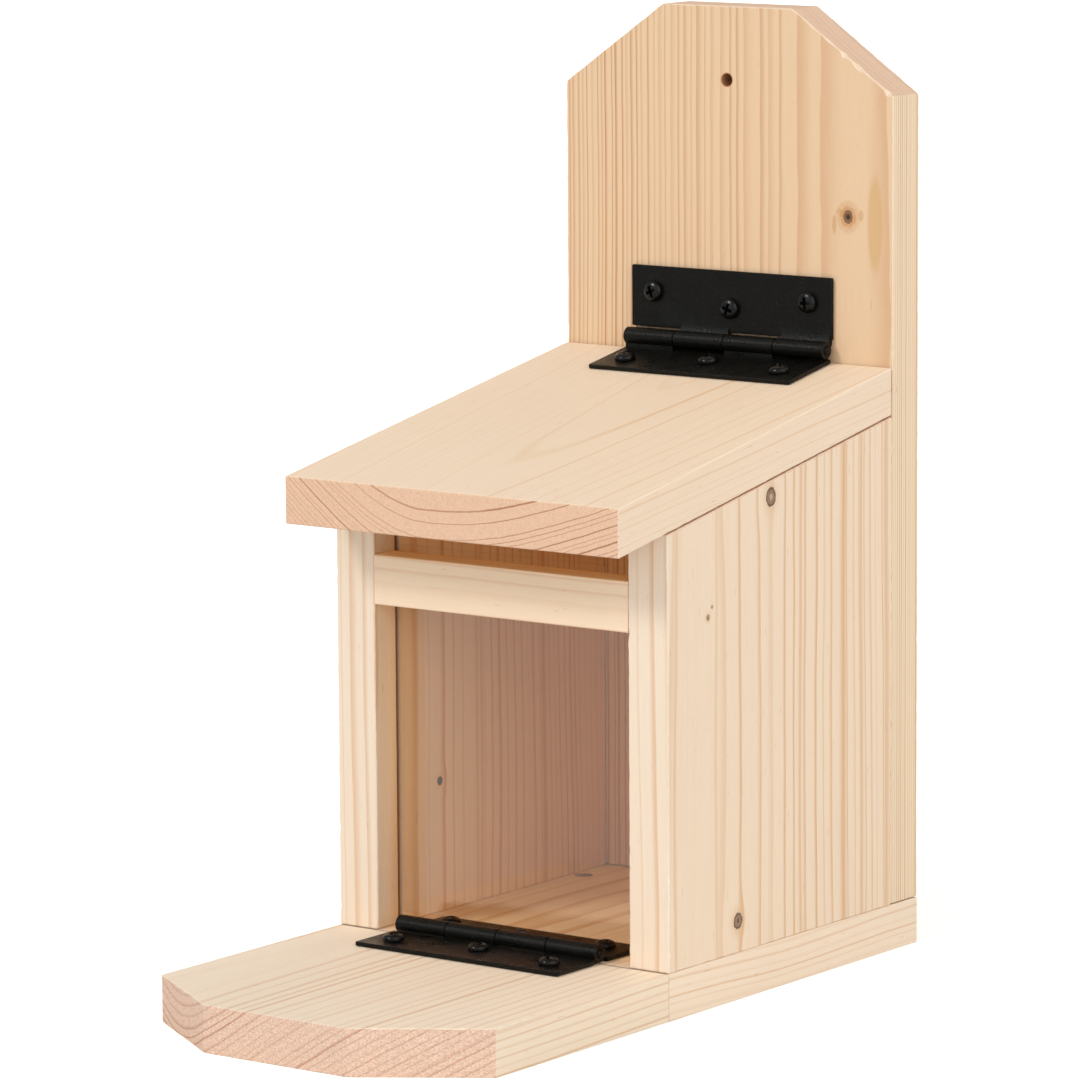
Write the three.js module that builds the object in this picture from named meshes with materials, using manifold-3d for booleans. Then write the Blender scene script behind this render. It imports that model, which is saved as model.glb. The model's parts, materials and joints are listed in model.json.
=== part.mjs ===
// A wooden squirrel feeder: a tall back board carries a box of two side panels on a floor, with a
// lid hinged to the back board, a clear window that slides in grooves behind a front rail, and a
// landing board hinged to the floor that folds up against the front for packing.
//
// Millimetres, +Z up, front towards -Y. The origin is on the ground under the middle of the whole
// feeder. Everything is built in a group whose own Y = 0 is the front face of the side panels.

import * as THREE from 'three';
import { mergeVertices } from 'three/addons/utils/BufferGeometryUtils.js';
import Module from 'manifold-3d';

const wasm = await Module();
wasm.setup();

// ---- Driving dimensions -------------------------------------------------------------------

// Boards, all planed to one thickness and cut to one width.
const BOARD_THICKNESS = 14.6;
const FEEDER_WIDTH = 125;
const BOX_DEPTH = 121.6; // front of the side panels to the face of the back board
const SEAM = 0.3; // open seam between two boards

const BACK_BOARD_TOP = 295;
const BACK_CHAMFER_WIDTH = 37.8;
const BACK_CHAMFER_HEIGHT = 26;
const HANGING_HOLE_DIAMETER = 4;
const HANGING_HOLE_HEIGHT = 271.8;

const LANDING_LENGTH = 110.7;
const LANDING_CHAMFER_WIDTH = 35.9;
const LANDING_CHAMFER_LENGTH = 24.1;

const DRAIN_HOLE_DIAMETER = 5.6;
const DRAIN_HOLE_X = 44.2;
const DRAIN_HOLE_Y = 103.7;

// The lid slopes down to the front, and both of its ends are cut upright.
const LID_OVERHANG = 24.9;
const LID_TOP_AT_BACK = 185;
const LID_TOP_AT_FRONT = 158.3;
const LID_REAR_GAP = 0.6;
const LID_REST_GAP = 0.7; // lid's underside to the side panels

const RAIL_BOTTOM = 116.7;
const RAIL_HEIGHT = 15.6;
const RAIL_DEPTH = 10.2;
const DOWEL_DIAMETER = 5;
const DOWEL_LENGTH = 19;

// Window pane and the saw-cut grooves that hold it.
const PANE_THICKNESS = 2;
const PANE_TOP = 134.1;
const GROOVE_DEPTH = 4;
const GROOVE_SETBACK = 10.5; // front of the side panels to the groove
const PANE_CLEARANCE = 0.25;

// Butt hinges, both alike: four knuckles on one pin, three screws to a leaf.
const HINGE_LENGTH = 76.5;
const LEAF_REACH = 22.5; // pin's centre to the leaf's outer edge
const LEAF_THICKNESS = 1.3;
const LEAF_CORNER_RADIUS = 0.9;
const KNUCKLE_COUNT = 4;
const KNUCKLE_RADIUS = 2.8;
const KNUCKLE_GAP = 0.3;
const NOTCH_CLEARANCE = 1.3; // a leaf's edge to the other leaf's knuckles
const NECK_LENGTH = 6.2; // pin's centre to where a leaf lies flat on its board
const PIN_RADIUS = 1.3;
const PIN_CLEARANCE = 0.3;
const PIN_PROJECTION = 0.45; // pin's rounded ends beyond the knuckles
const OUTER_SCREW_X = 29.5;
const OUTER_SCREW_REACH = 14.4;
const MIDDLE_SCREW_REACH = 10.6;
const CONTACT_GAP = 0.2; // under a leaf and under a screw head

const LID_HINGE_X = 2.3;
const LID_HINGE_Y = 117.6;
const LID_HINGE_Z = 189.1;
const LANDING_HINGE_X = -0.9;
const LANDING_HINGE_Y = 0;
const LANDING_HINGE_LIFT = 3.2; // pin's centre above the floor board

// Pan-head screws in the hinges, flat-head screws in the boards.
const SCREW_CLEARANCE = 0.3;
const RECESS_WIDTH = 0.8;
const PAN_SCREW = { shankRadius: 1.5, shankLength: 9.5, tipLength: 2, headRadius: 3.3, headHeight: 2.2 };
const PAN_RECESS = { span: 3.7, depth: 1.3 };
const FLAT_SCREW = { shankRadius: 1.9, shankLength: 31, tipLength: 3, headRadius: 3.7, headHeight: 2.2 };
const FLAT_RECESS = { span: 4.2, depth: 1.5 };
const SINK_DEPTH = 0.6; // flat heads below the wood's face

const BACK_SCREW_HEIGHTS = [55, 140];
const SIDE_SCREW_SETBACKS = [30, 95];
const FLOOR_TO_BACK_SCREW_X = 30;

// Facets around each round shape.
const SCREW_SIDES = 20;
const KNUCKLE_SIDES = 28;
const PIN_SIDES = 12;
const HOLE_SIDES = 24;
const HIDDEN_SIDES = 10;

// ---- Sizes that follow ----------------------------------------------------------------------

const HALF_WIDTH = FEEDER_WIDTH / 2;
const INNER_HALF_WIDTH = HALF_WIDTH - BOARD_THICKNESS;
const PANEL_MIDDLE_X = HALF_WIDTH - BOARD_THICKNESS / 2;
const REAR_FACE_Y = BOX_DEPTH + BOARD_THICKNESS;
const FRONT_FACE_Y = (LANDING_LENGTH - REAR_FACE_Y) / 2; // of the side panels, from the origin
const BOX_BOTTOM = BOARD_THICKNESS + SEAM;
const LID_SLOPE = Math.atan2(LID_TOP_AT_BACK - LID_TOP_AT_FRONT, BOX_DEPTH + LID_OVERHANG);
const LID_UPRIGHT_THICKNESS = BOARD_THICKNESS / Math.cos(LID_SLOPE);
const RAIL_MIDDLE_Z = RAIL_BOTTOM + RAIL_HEIGHT / 2;
const LANDING_HINGE_Z = BOARD_THICKNESS + LANDING_HINGE_LIFT;
const PIN_BORE_RADIUS = PIN_RADIUS + PIN_CLEARANCE;
const SCREW_HEAD_TOP = LEAF_THICKNESS + 2 * CONTACT_GAP + PAN_SCREW.headHeight;
const PANE_BOTTOM = BOARD_THICKNESS + SCREW_HEAD_TOP + SEAM; // the pane rests on the floor leaf's screws

const lidTop = (y) => LID_TOP_AT_BACK - (BOX_DEPTH - y) * Math.tan(LID_SLOPE);
const lidUnderside = (y) => lidTop(y) - LID_UPRIGHT_THICKNESS;

// ---- Materials ------------------------------------------------------------------------------

function wood(color) {
  return new THREE.MeshStandardMaterial({ color, roughness: 0.7, metalness: 0 });
}

const materials = {
  board: wood(0xecd3b3),
  lid: wood(0xefd6b8),
  landing: wood(0xe8cba6),
  dowel: wood(0xd9b98c),
  hinge: new THREE.MeshStandardMaterial({ color: 0x191614, roughness: 0.45, metalness: 0.6 }),
  blackScrew: new THREE.MeshStandardMaterial({ color: 0x121011, roughness: 0.3, metalness: 0.7 }),
  zincScrew: new THREE.MeshStandardMaterial({ color: 0xb9b7b0, roughness: 0.35, metalness: 1 }),
  pane: new THREE.MeshStandardMaterial({
    color: 0xf2f4f3,
    roughness: 0.05,
    metalness: 0,
    transparent: true,
    opacity: 0.3,
  }),
};

// ---- Solids ---------------------------------------------------------------------------------

const feeder = new THREE.Group();
feeder.position.y = FRONT_FACE_Y;

function addMesh(parent, name, geometry, material) {
  const mesh = new THREE.Mesh(geometry, material);
  mesh.name = name;
  parent.add(mesh);
  return mesh;
}

// A closed geometry as a Manifold solid, with its shared corners merged.
function toSolid(source) {
  const bare = source.clone();
  bare.deleteAttribute('normal');
  bare.deleteAttribute('uv');
  const merged = mergeVertices(bare);
  const index = merged.index.array;
  const triangles = [];
  for (let i = 0; i < index.length; i += 3) {
    const [a, b, c] = [index[i], index[i + 1], index[i + 2]];
    if (a !== b && b !== c && c !== a) triangles.push(a, b, c);
  }
  return new wasm.Manifold(new wasm.Mesh({
    numProp: 3,
    vertProperties: Float32Array.from(merged.attributes.position.array),
    triVerts: Uint32Array.from(triangles),
  }));
}

function toGeometry(solid) {
  const mesh = solid.getMesh();
  const geometry = new THREE.BufferGeometry();
  geometry.setAttribute('position', new THREE.BufferAttribute(mesh.vertProperties, 3));
  geometry.setIndex(new THREE.BufferAttribute(mesh.triVerts, 1));
  return geometry;
}

function cut(source, cutters) {
  let solid = toSolid(source);
  for (const cutter of cutters) solid = solid.subtract(toSolid(cutter));
  return toGeometry(solid);
}

function join(sources) {
  return toGeometry(sources.map(toSolid).reduce((whole, piece) => whole.add(piece)));
}

function box(x0, x1, y0, y1, z0, z1) {
  const geometry = new THREE.BoxGeometry(x1 - x0, y1 - y0, z1 - z0);
  return geometry.translate((x0 + x1) / 2, (y0 + y1) / 2, (z0 + z1) / 2);
}

function shapeOf(corners) {
  return new THREE.Shape(corners.map(([a, b]) => new THREE.Vector2(a, b)));
}

// Extrudes an outline drawn in the plane of the first two axes along the third.
function extrudeAlong(shape, depth, start, ...axes) {
  const geometry = new THREE.ExtrudeGeometry(shape, { depth, bevelEnabled: false });
  geometry.translate(0, 0, start);
  return geometry.applyMatrix4(new THREE.Matrix4().makeBasis(...axes));
}

const X_AXIS = new THREE.Vector3(1, 0, 0);
const Y_AXIS = new THREE.Vector3(0, 1, 0);
const Z_AXIS = new THREE.Vector3(0, 0, 1);

const extrudeX = (shape, x0, x1) => extrudeAlong(shape, x1 - x0, x0, Y_AXIS, Z_AXIS, X_AXIS);
const extrudeZ = (shape, z0, z1) => extrudeAlong(shape, z1 - z0, z0, X_AXIS, Y_AXIS, Z_AXIS);
// The outline is drawn as (z, x).
const extrudeY = (shape, y0, y1) => extrudeAlong(shape, y1 - y0, y0, Z_AXIS, X_AXIS, Y_AXIS);

function roundBar(radius, from, to, sides) {
  const length = from.distanceTo(to);
  const geometry = new THREE.CylinderGeometry(radius, radius, length, sides);
  const direction = to.clone().sub(from).normalize();
  geometry.applyQuaternion(new THREE.Quaternion().setFromUnitVectors(Y_AXIS, direction));
  const middle = from.clone().add(to).multiplyScalar(1 / 2);
  return geometry.translate(middle.x, middle.y, middle.z);
}

// Turns an outline of [radius, height] pairs, bottom to top, about the Z axis.
function turned(outline, sides) {
  const points = outline.map(([radius, height]) => new THREE.Vector2(radius, height));
  return new THREE.LatheGeometry(points, sides).rotateX(Math.PI / 2);
}

// ---- Screws: the head stands on Z = 0 and the shank points down -------------------------------

function crossRecess(span, depth, top) {
  const half = RECESS_WIDTH / 2;
  return [
    box(-span / 2, span / 2, -half, half, top - depth, top + depth),
    box(-half, half, -span / 2, span / 2, top - depth, top + depth),
  ];
}

function panScrew() {
  const { shankRadius, shankLength, tipLength, headRadius, headHeight } = PAN_SCREW;
  const outline = [
    [0, -shankLength - tipLength],
    [shankRadius, -shankLength],
    [shankRadius, 0],
    [headRadius, 0],
    [headRadius, headHeight * 0.38],
    [headRadius * 0.92, headHeight * 0.66],
    [headRadius * 0.68, headHeight * 0.89],
    [headRadius * 0.34, headHeight],
    [0, headHeight],
  ];
  return cut(turned(outline, SCREW_SIDES), crossRecess(PAN_RECESS.span, PAN_RECESS.depth, headHeight));
}

// The flat-head screw's outline, grown by a clearance and reaching up through a mouth.
function flatScrewOutline(clearance, mouth) {
  const { shankRadius, shankLength, tipLength, headRadius, headHeight } = FLAT_SCREW;
  const outline = [
    [0, -shankLength - tipLength - clearance],
    [shankRadius + clearance, -shankLength],
    [shankRadius + clearance, -headHeight - clearance],
    [headRadius + clearance, -clearance],
  ];
  if (mouth > 0) outline.push([headRadius + clearance, mouth]);
  outline.push([0, mouth]);
  return outline;
}

function flatScrew() {
  const { span, depth } = FLAT_RECESS;
  return cut(turned(flatScrewOutline(0, 0), PIN_SIDES), crossRecess(span, depth, 0));
}

// Flat-head screws through one board into the next. Each place gives the middle of the head and
// the way the screw is driven.
const boardScrews = [];
for (const side of [-1, 1]) {
  BACK_SCREW_HEIGHTS.forEach((height) => boardScrews.push({
    family: 'back_board_screw',
    head: new THREE.Vector3(side * PANEL_MIDDLE_X, REAR_FACE_Y - SINK_DEPTH, height),
    turn: -Math.PI / 2,
  }));
  SIDE_SCREW_SETBACKS.forEach((setback) => boardScrews.push({
    family: 'floor_side_screw',
    head: new THREE.Vector3(side * PANEL_MIDDLE_X, setback, SINK_DEPTH),
    turn: Math.PI,
  }));
  boardScrews.push({
    family: 'floor_back_screw',
    head: new THREE.Vector3(side * FLOOR_TO_BACK_SCREW_X, BOX_DEPTH + BOARD_THICKNESS / 2, SINK_DEPTH),
    turn: Math.PI,
  });
}

function boardScrewHole({ head, turn }) {
  const hole = turned(flatScrewOutline(SCREW_CLEARANCE, 2 * SINK_DEPTH), PIN_SIDES);
  return hole.rotateX(turn).translate(head.x, head.y, head.z);
}

const holesOf = (family) => boardScrews.filter((screw) => screw.family === family).map(boardScrewHole);

function addBoardScrews() {
  const counts = {};
  for (const { family, head, turn } of boardScrews) {
    counts[family] = (counts[family] ?? 0) + 1;
    const screw = addMesh(feeder, `${family}_${counts[family]}`, flatScrew(), materials.zincScrew);
    screw.position.copy(head);
    screw.rotation.x = turn;
  }
}

// ---- Hinges -----------------------------------------------------------------------------------

// A leaf's own frame: X along the pin, Y away from it across the leaf, Z out of the board.
// Knuckles are numbered from the leaf's own left. boardDistance is the pin's centre to the board.
const screwPlaces = [
  [-OUTER_SCREW_X, OUTER_SCREW_REACH],
  [0, MIDDLE_SCREW_REACH],
  [OUTER_SCREW_X, OUTER_SCREW_REACH],
];

const knuckleStart = (number) => (number / KNUCKLE_COUNT - 1 / 2) * HINGE_LENGTH;

function leafPlate(knuckles, bottom) {
  const half = HINGE_LENGTH / 2;
  const corner = LEAF_CORNER_RADIUS;
  const notch = KNUCKLE_RADIUS + NOTCH_CLEARANCE;
  const shape = new THREE.Shape();
  shape.moveTo(half, notch);
  shape.lineTo(half, LEAF_REACH - corner);
  shape.absarc(half - corner, LEAF_REACH - corner, corner, 0, Math.PI / 2, false);
  shape.absarc(-half + corner, LEAF_REACH - corner, corner, Math.PI / 2, Math.PI, false);
  shape.lineTo(-half, notch);
  for (const [x, reach] of screwPlaces) {
    const hole = new THREE.Path();
    hole.absarc(x, reach, PAN_SCREW.shankRadius + SCREW_CLEARANCE, 0, 2 * Math.PI, true);
    shape.holes.push(hole);
  }
  const options = { depth: LEAF_THICKNESS, bevelEnabled: false, curveSegments: 6 };
  const plate = new THREE.ExtrudeGeometry(shape, options).translate(0, 0, bottom);
  return [plate, ...knuckles.map((number) => leafKnuckle(number, bottom))];
}

// One knuckle with the neck that joins it to the leaf.
function leafKnuckle(number, bottom) {
  const x0 = knuckleStart(number) + KNUCKLE_GAP / 2;
  const x1 = knuckleStart(number + 1) - KNUCKLE_GAP / 2;
  const barrel = roundBar(
    KNUCKLE_RADIUS,
    new THREE.Vector3(x0, 0, 0),
    new THREE.Vector3(x1, 0, 0),
    KNUCKLE_SIDES,
  );
  const top = bottom + LEAF_THICKNESS;
  const shoulder = Math.max(top, -KNUCKLE_RADIUS * Math.SQRT1_2);
  const neck = shapeOf([
    [NECK_LENGTH, bottom],
    [NECK_LENGTH, top],
    [KNUCKLE_RADIUS * Math.SQRT1_2, shoulder],
    [0, -PIN_BORE_RADIUS],
    [0, -KNUCKLE_RADIUS],
    [KNUCKLE_RADIUS, Math.min(bottom, -KNUCKLE_RADIUS)],
  ]);
  return join([barrel, extrudeX(neck, x0, x1)]);
}

function leaf(knuckles, boardDistance) {
  const bottom = -boardDistance + CONTACT_GAP;
  const bore = roundBar(
    PIN_BORE_RADIUS,
    new THREE.Vector3(-HINGE_LENGTH, 0, 0),
    new THREE.Vector3(HINGE_LENGTH, 0, 0),
    PIN_SIDES,
  );
  return cut(join(leafPlate(knuckles, bottom)), [bore]);
}

function hingePin() {
  const half = HINGE_LENGTH / 2;
  const outline = [
    [0, -half - PIN_PROJECTION],
    [PIN_RADIUS * 0.7, -half - PIN_PROJECTION],
    [PIN_RADIUS, -half],
    [PIN_RADIUS, half],
    [PIN_RADIUS * 0.7, half + PIN_PROJECTION],
    [0, half + PIN_PROJECTION],
  ];
  return turned(outline, PIN_SIDES).rotateY(Math.PI / 2);
}

const hinges = [
  {
    name: 'lid_hinge',
    axis: new THREE.Vector3(LID_HINGE_X, LID_HINGE_Y, LID_HINGE_Z),
    leaves: [
      { name: 'back', knuckles: [1, 3], boardDistance: BOX_DEPTH - LID_HINGE_Y, turn: [Math.PI / 2, 0, 0] },
      {
        name: 'lid',
        knuckles: [1, 3],
        boardDistance: (LID_HINGE_Z - lidTop(LID_HINGE_Y)) * Math.cos(LID_SLOPE),
        turn: [LID_SLOPE, 0, Math.PI],
      },
    ],
  },
  {
    name: 'landing_hinge',
    axis: new THREE.Vector3(LANDING_HINGE_X, LANDING_HINGE_Y, LANDING_HINGE_Z),
    leaves: [
      { name: 'floor', knuckles: [0, 2], boardDistance: LANDING_HINGE_LIFT, turn: [0, 0, 0] },
      { name: 'landing', knuckles: [0, 2], boardDistance: LANDING_HINGE_LIFT, turn: [0, 0, Math.PI] },
    ],
  },
];

function leafFrame(hinge, { turn }) {
  const frame = new THREE.Group();
  frame.position.copy(hinge.axis);
  frame.rotation.set(...turn);
  frame.updateMatrix();
  return frame;
}

function addHinge(hinge) {
  const pin = addMesh(feeder, `${hinge.name}_pin`, hingePin(), materials.hinge);
  pin.position.copy(hinge.axis);
  for (const side of hinge.leaves) {
    const frame = leafFrame(hinge, side);
    feeder.add(frame);
    addMesh(frame, `${hinge.name}_${side.name}_leaf`, leaf(side.knuckles, side.boardDistance), materials.hinge);
    screwPlaces.forEach(([x, reach], i) => {
      const screw = addMesh(frame, `${hinge.name}_${side.name}_screw_${i + 1}`, panScrew(), materials.blackScrew);
      screw.position.set(x, reach, -side.boardDistance + LEAF_THICKNESS + 2 * CONTACT_GAP);
    });
  }
}

// Blind holes that a leaf's screws need in its board.
function hingeScrewHoles(hingeIndex, leafIndex) {
  const hinge = hinges[hingeIndex];
  const side = hinge.leaves[leafIndex];
  const frame = leafFrame(hinge, side);
  const surface = -side.boardDistance;
  return screwPlaces.map(([x, reach]) => roundBar(
    PAN_SCREW.shankRadius + SCREW_CLEARANCE,
    new THREE.Vector3(x, reach, surface - PAN_SCREW.shankLength - PAN_SCREW.tipLength),
    new THREE.Vector3(x, reach, surface + LEAF_THICKNESS),
    HIDDEN_SIDES,
  ).applyMatrix4(frame.matrix));
}

// ---- Boards -----------------------------------------------------------------------------------

function uprightHole(x, y, diameter) {
  return roundBar(
    diameter / 2,
    new THREE.Vector3(x, y, -BOARD_THICKNESS),
    new THREE.Vector3(x, y, 2 * BOARD_THICKNESS),
    HOLE_SIDES,
  );
}

function floorBoard() {
  return cut(box(-HALF_WIDTH, HALF_WIDTH, 0, REAR_FACE_Y, 0, BOARD_THICKNESS), [
    uprightHole(-DRAIN_HOLE_X, DRAIN_HOLE_Y, DRAIN_HOLE_DIAMETER),
    uprightHole(DRAIN_HOLE_X, DRAIN_HOLE_Y, DRAIN_HOLE_DIAMETER),
    ...hingeScrewHoles(1, 0),
    ...holesOf('floor_side_screw'),
    ...holesOf('floor_back_screw'),
  ]);
}

function landingBoard() {
  const frontHalfWidth = HALF_WIDTH - LANDING_CHAMFER_WIDTH;
  const shoulder = -LANDING_LENGTH + LANDING_CHAMFER_LENGTH;
  const outline = shapeOf([
    [-HALF_WIDTH, -SEAM],
    [-HALF_WIDTH, shoulder],
    [-frontHalfWidth, -LANDING_LENGTH],
    [frontHalfWidth, -LANDING_LENGTH],
    [HALF_WIDTH, shoulder],
    [HALF_WIDTH, -SEAM],
  ]);
  return cut(extrudeZ(outline, 0, BOARD_THICKNESS), hingeScrewHoles(1, 1));
}

function backBoard() {
  const topHalfWidth = HALF_WIDTH - BACK_CHAMFER_WIDTH;
  const shoulder = BACK_BOARD_TOP - BACK_CHAMFER_HEIGHT;
  const outline = shapeOf([
    [BOX_BOTTOM, -HALF_WIDTH],
    [shoulder, -HALF_WIDTH],
    [BACK_BOARD_TOP, -topHalfWidth],
    [BACK_BOARD_TOP, topHalfWidth],
    [shoulder, HALF_WIDTH],
    [BOX_BOTTOM, HALF_WIDTH],
  ]);
  const hangingHole = roundBar(
    HANGING_HOLE_DIAMETER / 2,
    new THREE.Vector3(0, BOX_DEPTH - BOARD_THICKNESS, HANGING_HOLE_HEIGHT),
    new THREE.Vector3(0, REAR_FACE_Y + BOARD_THICKNESS, HANGING_HOLE_HEIGHT),
    HOLE_SIDES,
  );
  return cut(extrudeY(outline, BOX_DEPTH, REAR_FACE_Y), [
    hangingHole,
    ...hingeScrewHoles(0, 0),
    ...holesOf('back_board_screw'),
    ...holesOf('floor_back_screw'),
  ]);
}

function lidBoard() {
  const rear = BOX_DEPTH - LID_REAR_GAP;
  const outline = shapeOf([
    [-LID_OVERHANG, lidUnderside(-LID_OVERHANG)],
    [rear, lidUnderside(rear)],
    [rear, lidTop(rear)],
    [-LID_OVERHANG, lidTop(-LID_OVERHANG)],
  ]);
  return cut(extrudeX(outline, -HALF_WIDTH, HALF_WIDTH), hingeScrewHoles(0, 1));
}

// A dowel's bar along X, at one end of the rail.
function dowelBar(side, clearance) {
  const reach = DOWEL_LENGTH / 2 + clearance;
  const middle = side * INNER_HALF_WIDTH;
  return roundBar(
    DOWEL_DIAMETER / 2 + clearance,
    new THREE.Vector3(middle - reach, RAIL_DEPTH / 2, RAIL_MIDDLE_Z),
    new THREE.Vector3(middle + reach, RAIL_DEPTH / 2, RAIL_MIDDLE_Z),
    HIDDEN_SIDES,
  );
}

function sidePanel(side) {
  const rear = BOX_DEPTH - SEAM;
  const outline = shapeOf([
    [0, BOX_BOTTOM],
    [rear, BOX_BOTTOM],
    [rear, lidUnderside(rear) - LID_REST_GAP],
    [0, lidUnderside(0) - LID_REST_GAP],
  ]);
  const [x0, x1] = [side * INNER_HALF_WIDTH, side * HALF_WIDTH].sort((a, b) => a - b);
  const groove = box(
    side * INNER_HALF_WIDTH - GROOVE_DEPTH,
    side * INNER_HALF_WIDTH + GROOVE_DEPTH,
    GROOVE_SETBACK,
    GROOVE_SETBACK + PANE_THICKNESS + 2 * PANE_CLEARANCE,
    0,
    BACK_BOARD_TOP,
  );
  return cut(extrudeX(outline, x0, x1), [
    groove,
    dowelBar(side, SCREW_CLEARANCE),
    ...holesOf('back_board_screw'),
    ...holesOf('floor_side_screw'),
  ]);
}

function frontRail() {
  const half = INNER_HALF_WIDTH - SEAM;
  const bar = box(-half, half, 0, RAIL_DEPTH, RAIL_BOTTOM, RAIL_BOTTOM + RAIL_HEIGHT);
  return cut(bar, [-1, 1].map((side) => dowelBar(side, SCREW_CLEARANCE)));
}

function windowPane() {
  const half = INNER_HALF_WIDTH + GROOVE_DEPTH - SEAM;
  const front = GROOVE_SETBACK + PANE_CLEARANCE;
  return box(-half, half, front, front + PANE_THICKNESS, PANE_BOTTOM, PANE_TOP);
}

// ---- The feeder -------------------------------------------------------------------------------

addMesh(feeder, 'floor_board', floorBoard(), materials.board);
addMesh(feeder, 'back_board', backBoard(), materials.board);
addMesh(feeder, 'side_panel_left', sidePanel(-1), materials.board);
addMesh(feeder, 'side_panel_right', sidePanel(1), materials.board);
addMesh(feeder, 'front_rail', frontRail(), materials.board);
addMesh(feeder, 'rail_dowel_left', dowelBar(-1, 0), materials.dowel);
addMesh(feeder, 'rail_dowel_right', dowelBar(1, 0), materials.dowel);
addMesh(feeder, 'window_pane', windowPane(), materials.pane);
addMesh(feeder, 'lid_board', lidBoard(), materials.lid);
addMesh(feeder, 'landing_board', landingBoard(), materials.landing);
hinges.forEach(addHinge);
addBoardScrews();

export default feeder;
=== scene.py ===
"""A wooden squirrel feeder: bare spruce boards, black hinges and a clear window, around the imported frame."""

import json
import math

import bmesh
import bpy
from mathutils import Matrix, Vector, noise

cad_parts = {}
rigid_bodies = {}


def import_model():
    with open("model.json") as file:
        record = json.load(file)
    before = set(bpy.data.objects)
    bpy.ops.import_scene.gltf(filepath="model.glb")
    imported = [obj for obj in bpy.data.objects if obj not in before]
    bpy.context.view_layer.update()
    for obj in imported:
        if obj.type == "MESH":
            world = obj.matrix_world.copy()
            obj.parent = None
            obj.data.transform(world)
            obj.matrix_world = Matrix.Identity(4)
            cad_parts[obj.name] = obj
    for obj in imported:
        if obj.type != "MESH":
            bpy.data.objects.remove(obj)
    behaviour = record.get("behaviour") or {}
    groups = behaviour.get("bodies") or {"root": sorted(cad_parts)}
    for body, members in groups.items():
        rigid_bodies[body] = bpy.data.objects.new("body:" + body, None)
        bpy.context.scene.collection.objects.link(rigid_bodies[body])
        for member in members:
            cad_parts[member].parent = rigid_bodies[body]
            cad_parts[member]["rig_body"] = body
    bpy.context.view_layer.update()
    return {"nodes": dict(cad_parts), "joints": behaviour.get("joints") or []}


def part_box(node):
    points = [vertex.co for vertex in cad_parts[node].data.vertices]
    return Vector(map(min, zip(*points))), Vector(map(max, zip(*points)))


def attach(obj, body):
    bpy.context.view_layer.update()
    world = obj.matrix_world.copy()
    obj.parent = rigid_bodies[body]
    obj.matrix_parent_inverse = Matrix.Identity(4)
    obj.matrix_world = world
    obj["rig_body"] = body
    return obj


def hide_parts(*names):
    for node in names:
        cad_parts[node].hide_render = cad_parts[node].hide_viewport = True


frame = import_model()

MM = 0.001
X, Y, Z = Vector((1, 0, 0)), Vector((0, 1, 0)), Vector((0, 0, 1))

# ---- Sizes, from the frame -------------------------------------------------------------------

LOW, HIGH = 0, 1
FLOOR_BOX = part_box("floor_board")
BACK_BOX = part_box("back_board")
RIGHT_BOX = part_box("side_panel_right")
LEFT_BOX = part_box("side_panel_left")
RAIL_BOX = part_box("front_rail")
LANDING_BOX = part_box("landing_board")
LID_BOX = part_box("lid_board")
PANE_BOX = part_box("window_pane")

THICKNESS = FLOOR_BOX[HIGH][2] - FLOOR_BOX[LOW][2]
HALF_WIDTH = FLOOR_BOX[HIGH][0]
FRONT_Y = FLOOR_BOX[LOW][1]
BACK_FACE_Y = BACK_BOX[LOW][1]
JOINT_AT = {joint["name"]: Vector(joint["pos_m"]) for joint in frame["joints"] if "pos_m" in joint}


def cad_vertices(node):
    return [vertex.co.copy() for vertex in frame["nodes"][node].data.vertices]


def lid_height(y, upper):
    """Height of the lid's top or underside at a place front to back, from the CAD board's corners."""
    pick = max if upper else min
    ends = []
    for end in (LID_BOX[LOW][1], LID_BOX[HIGH][1]):
        near = [v.z for v in cad_vertices("lid_board") if abs(v.y - end) < 0.1 * MM]
        ends.append(pick(near))
    share = (y - LID_BOX[LOW][1]) / (LID_BOX[HIGH][1] - LID_BOX[LOW][1])
    return ends[0] + share * (ends[1] - ends[0])


LID_RISE = lid_height(LID_BOX[HIGH][1], True) - lid_height(LID_BOX[LOW][1], True)
LID_SLOPE = math.atan2(LID_RISE, LID_BOX[HIGH][1] - LID_BOX[LOW][1])

# ---- Camera ----------------------------------------------------------------------------------

CAMERA_AIM = Vector((13.3, -9.7, 141.5)) * MM
CAMERA_DISTANCE = 1860 * MM
CAMERA_AZIMUTH = math.radians(36.41)
CAMERA_ELEVATION = math.radians(8.633)
CAMERA_ROLL = math.radians(0.36)
CAMERA_LENS = 205.92


def add_camera():
    data = bpy.data.cameras.new("camera")
    data.lens = CAMERA_LENS
    data.sensor_width = 36
    data.clip_start = 0.05
    camera = bpy.data.objects.new("camera", data)
    bpy.context.scene.collection.objects.link(camera)
    level = math.cos(CAMERA_ELEVATION)
    towards = Vector((
        math.sin(CAMERA_AZIMUTH) * level,
        -math.cos(CAMERA_AZIMUTH) * level,
        math.sin(CAMERA_ELEVATION),
    ))
    turn = towards.to_track_quat("Z", "Y").to_matrix().to_4x4()
    place = Matrix.Translation(CAMERA_AIM + towards * CAMERA_DISTANCE)
    camera.matrix_world = place @ turn @ Matrix.Rotation(-CAMERA_ROLL, 4, "Z")
    bpy.context.scene.camera = camera


add_camera()

# ---- Node graphs -----------------------------------------------------------------------------------


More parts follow.
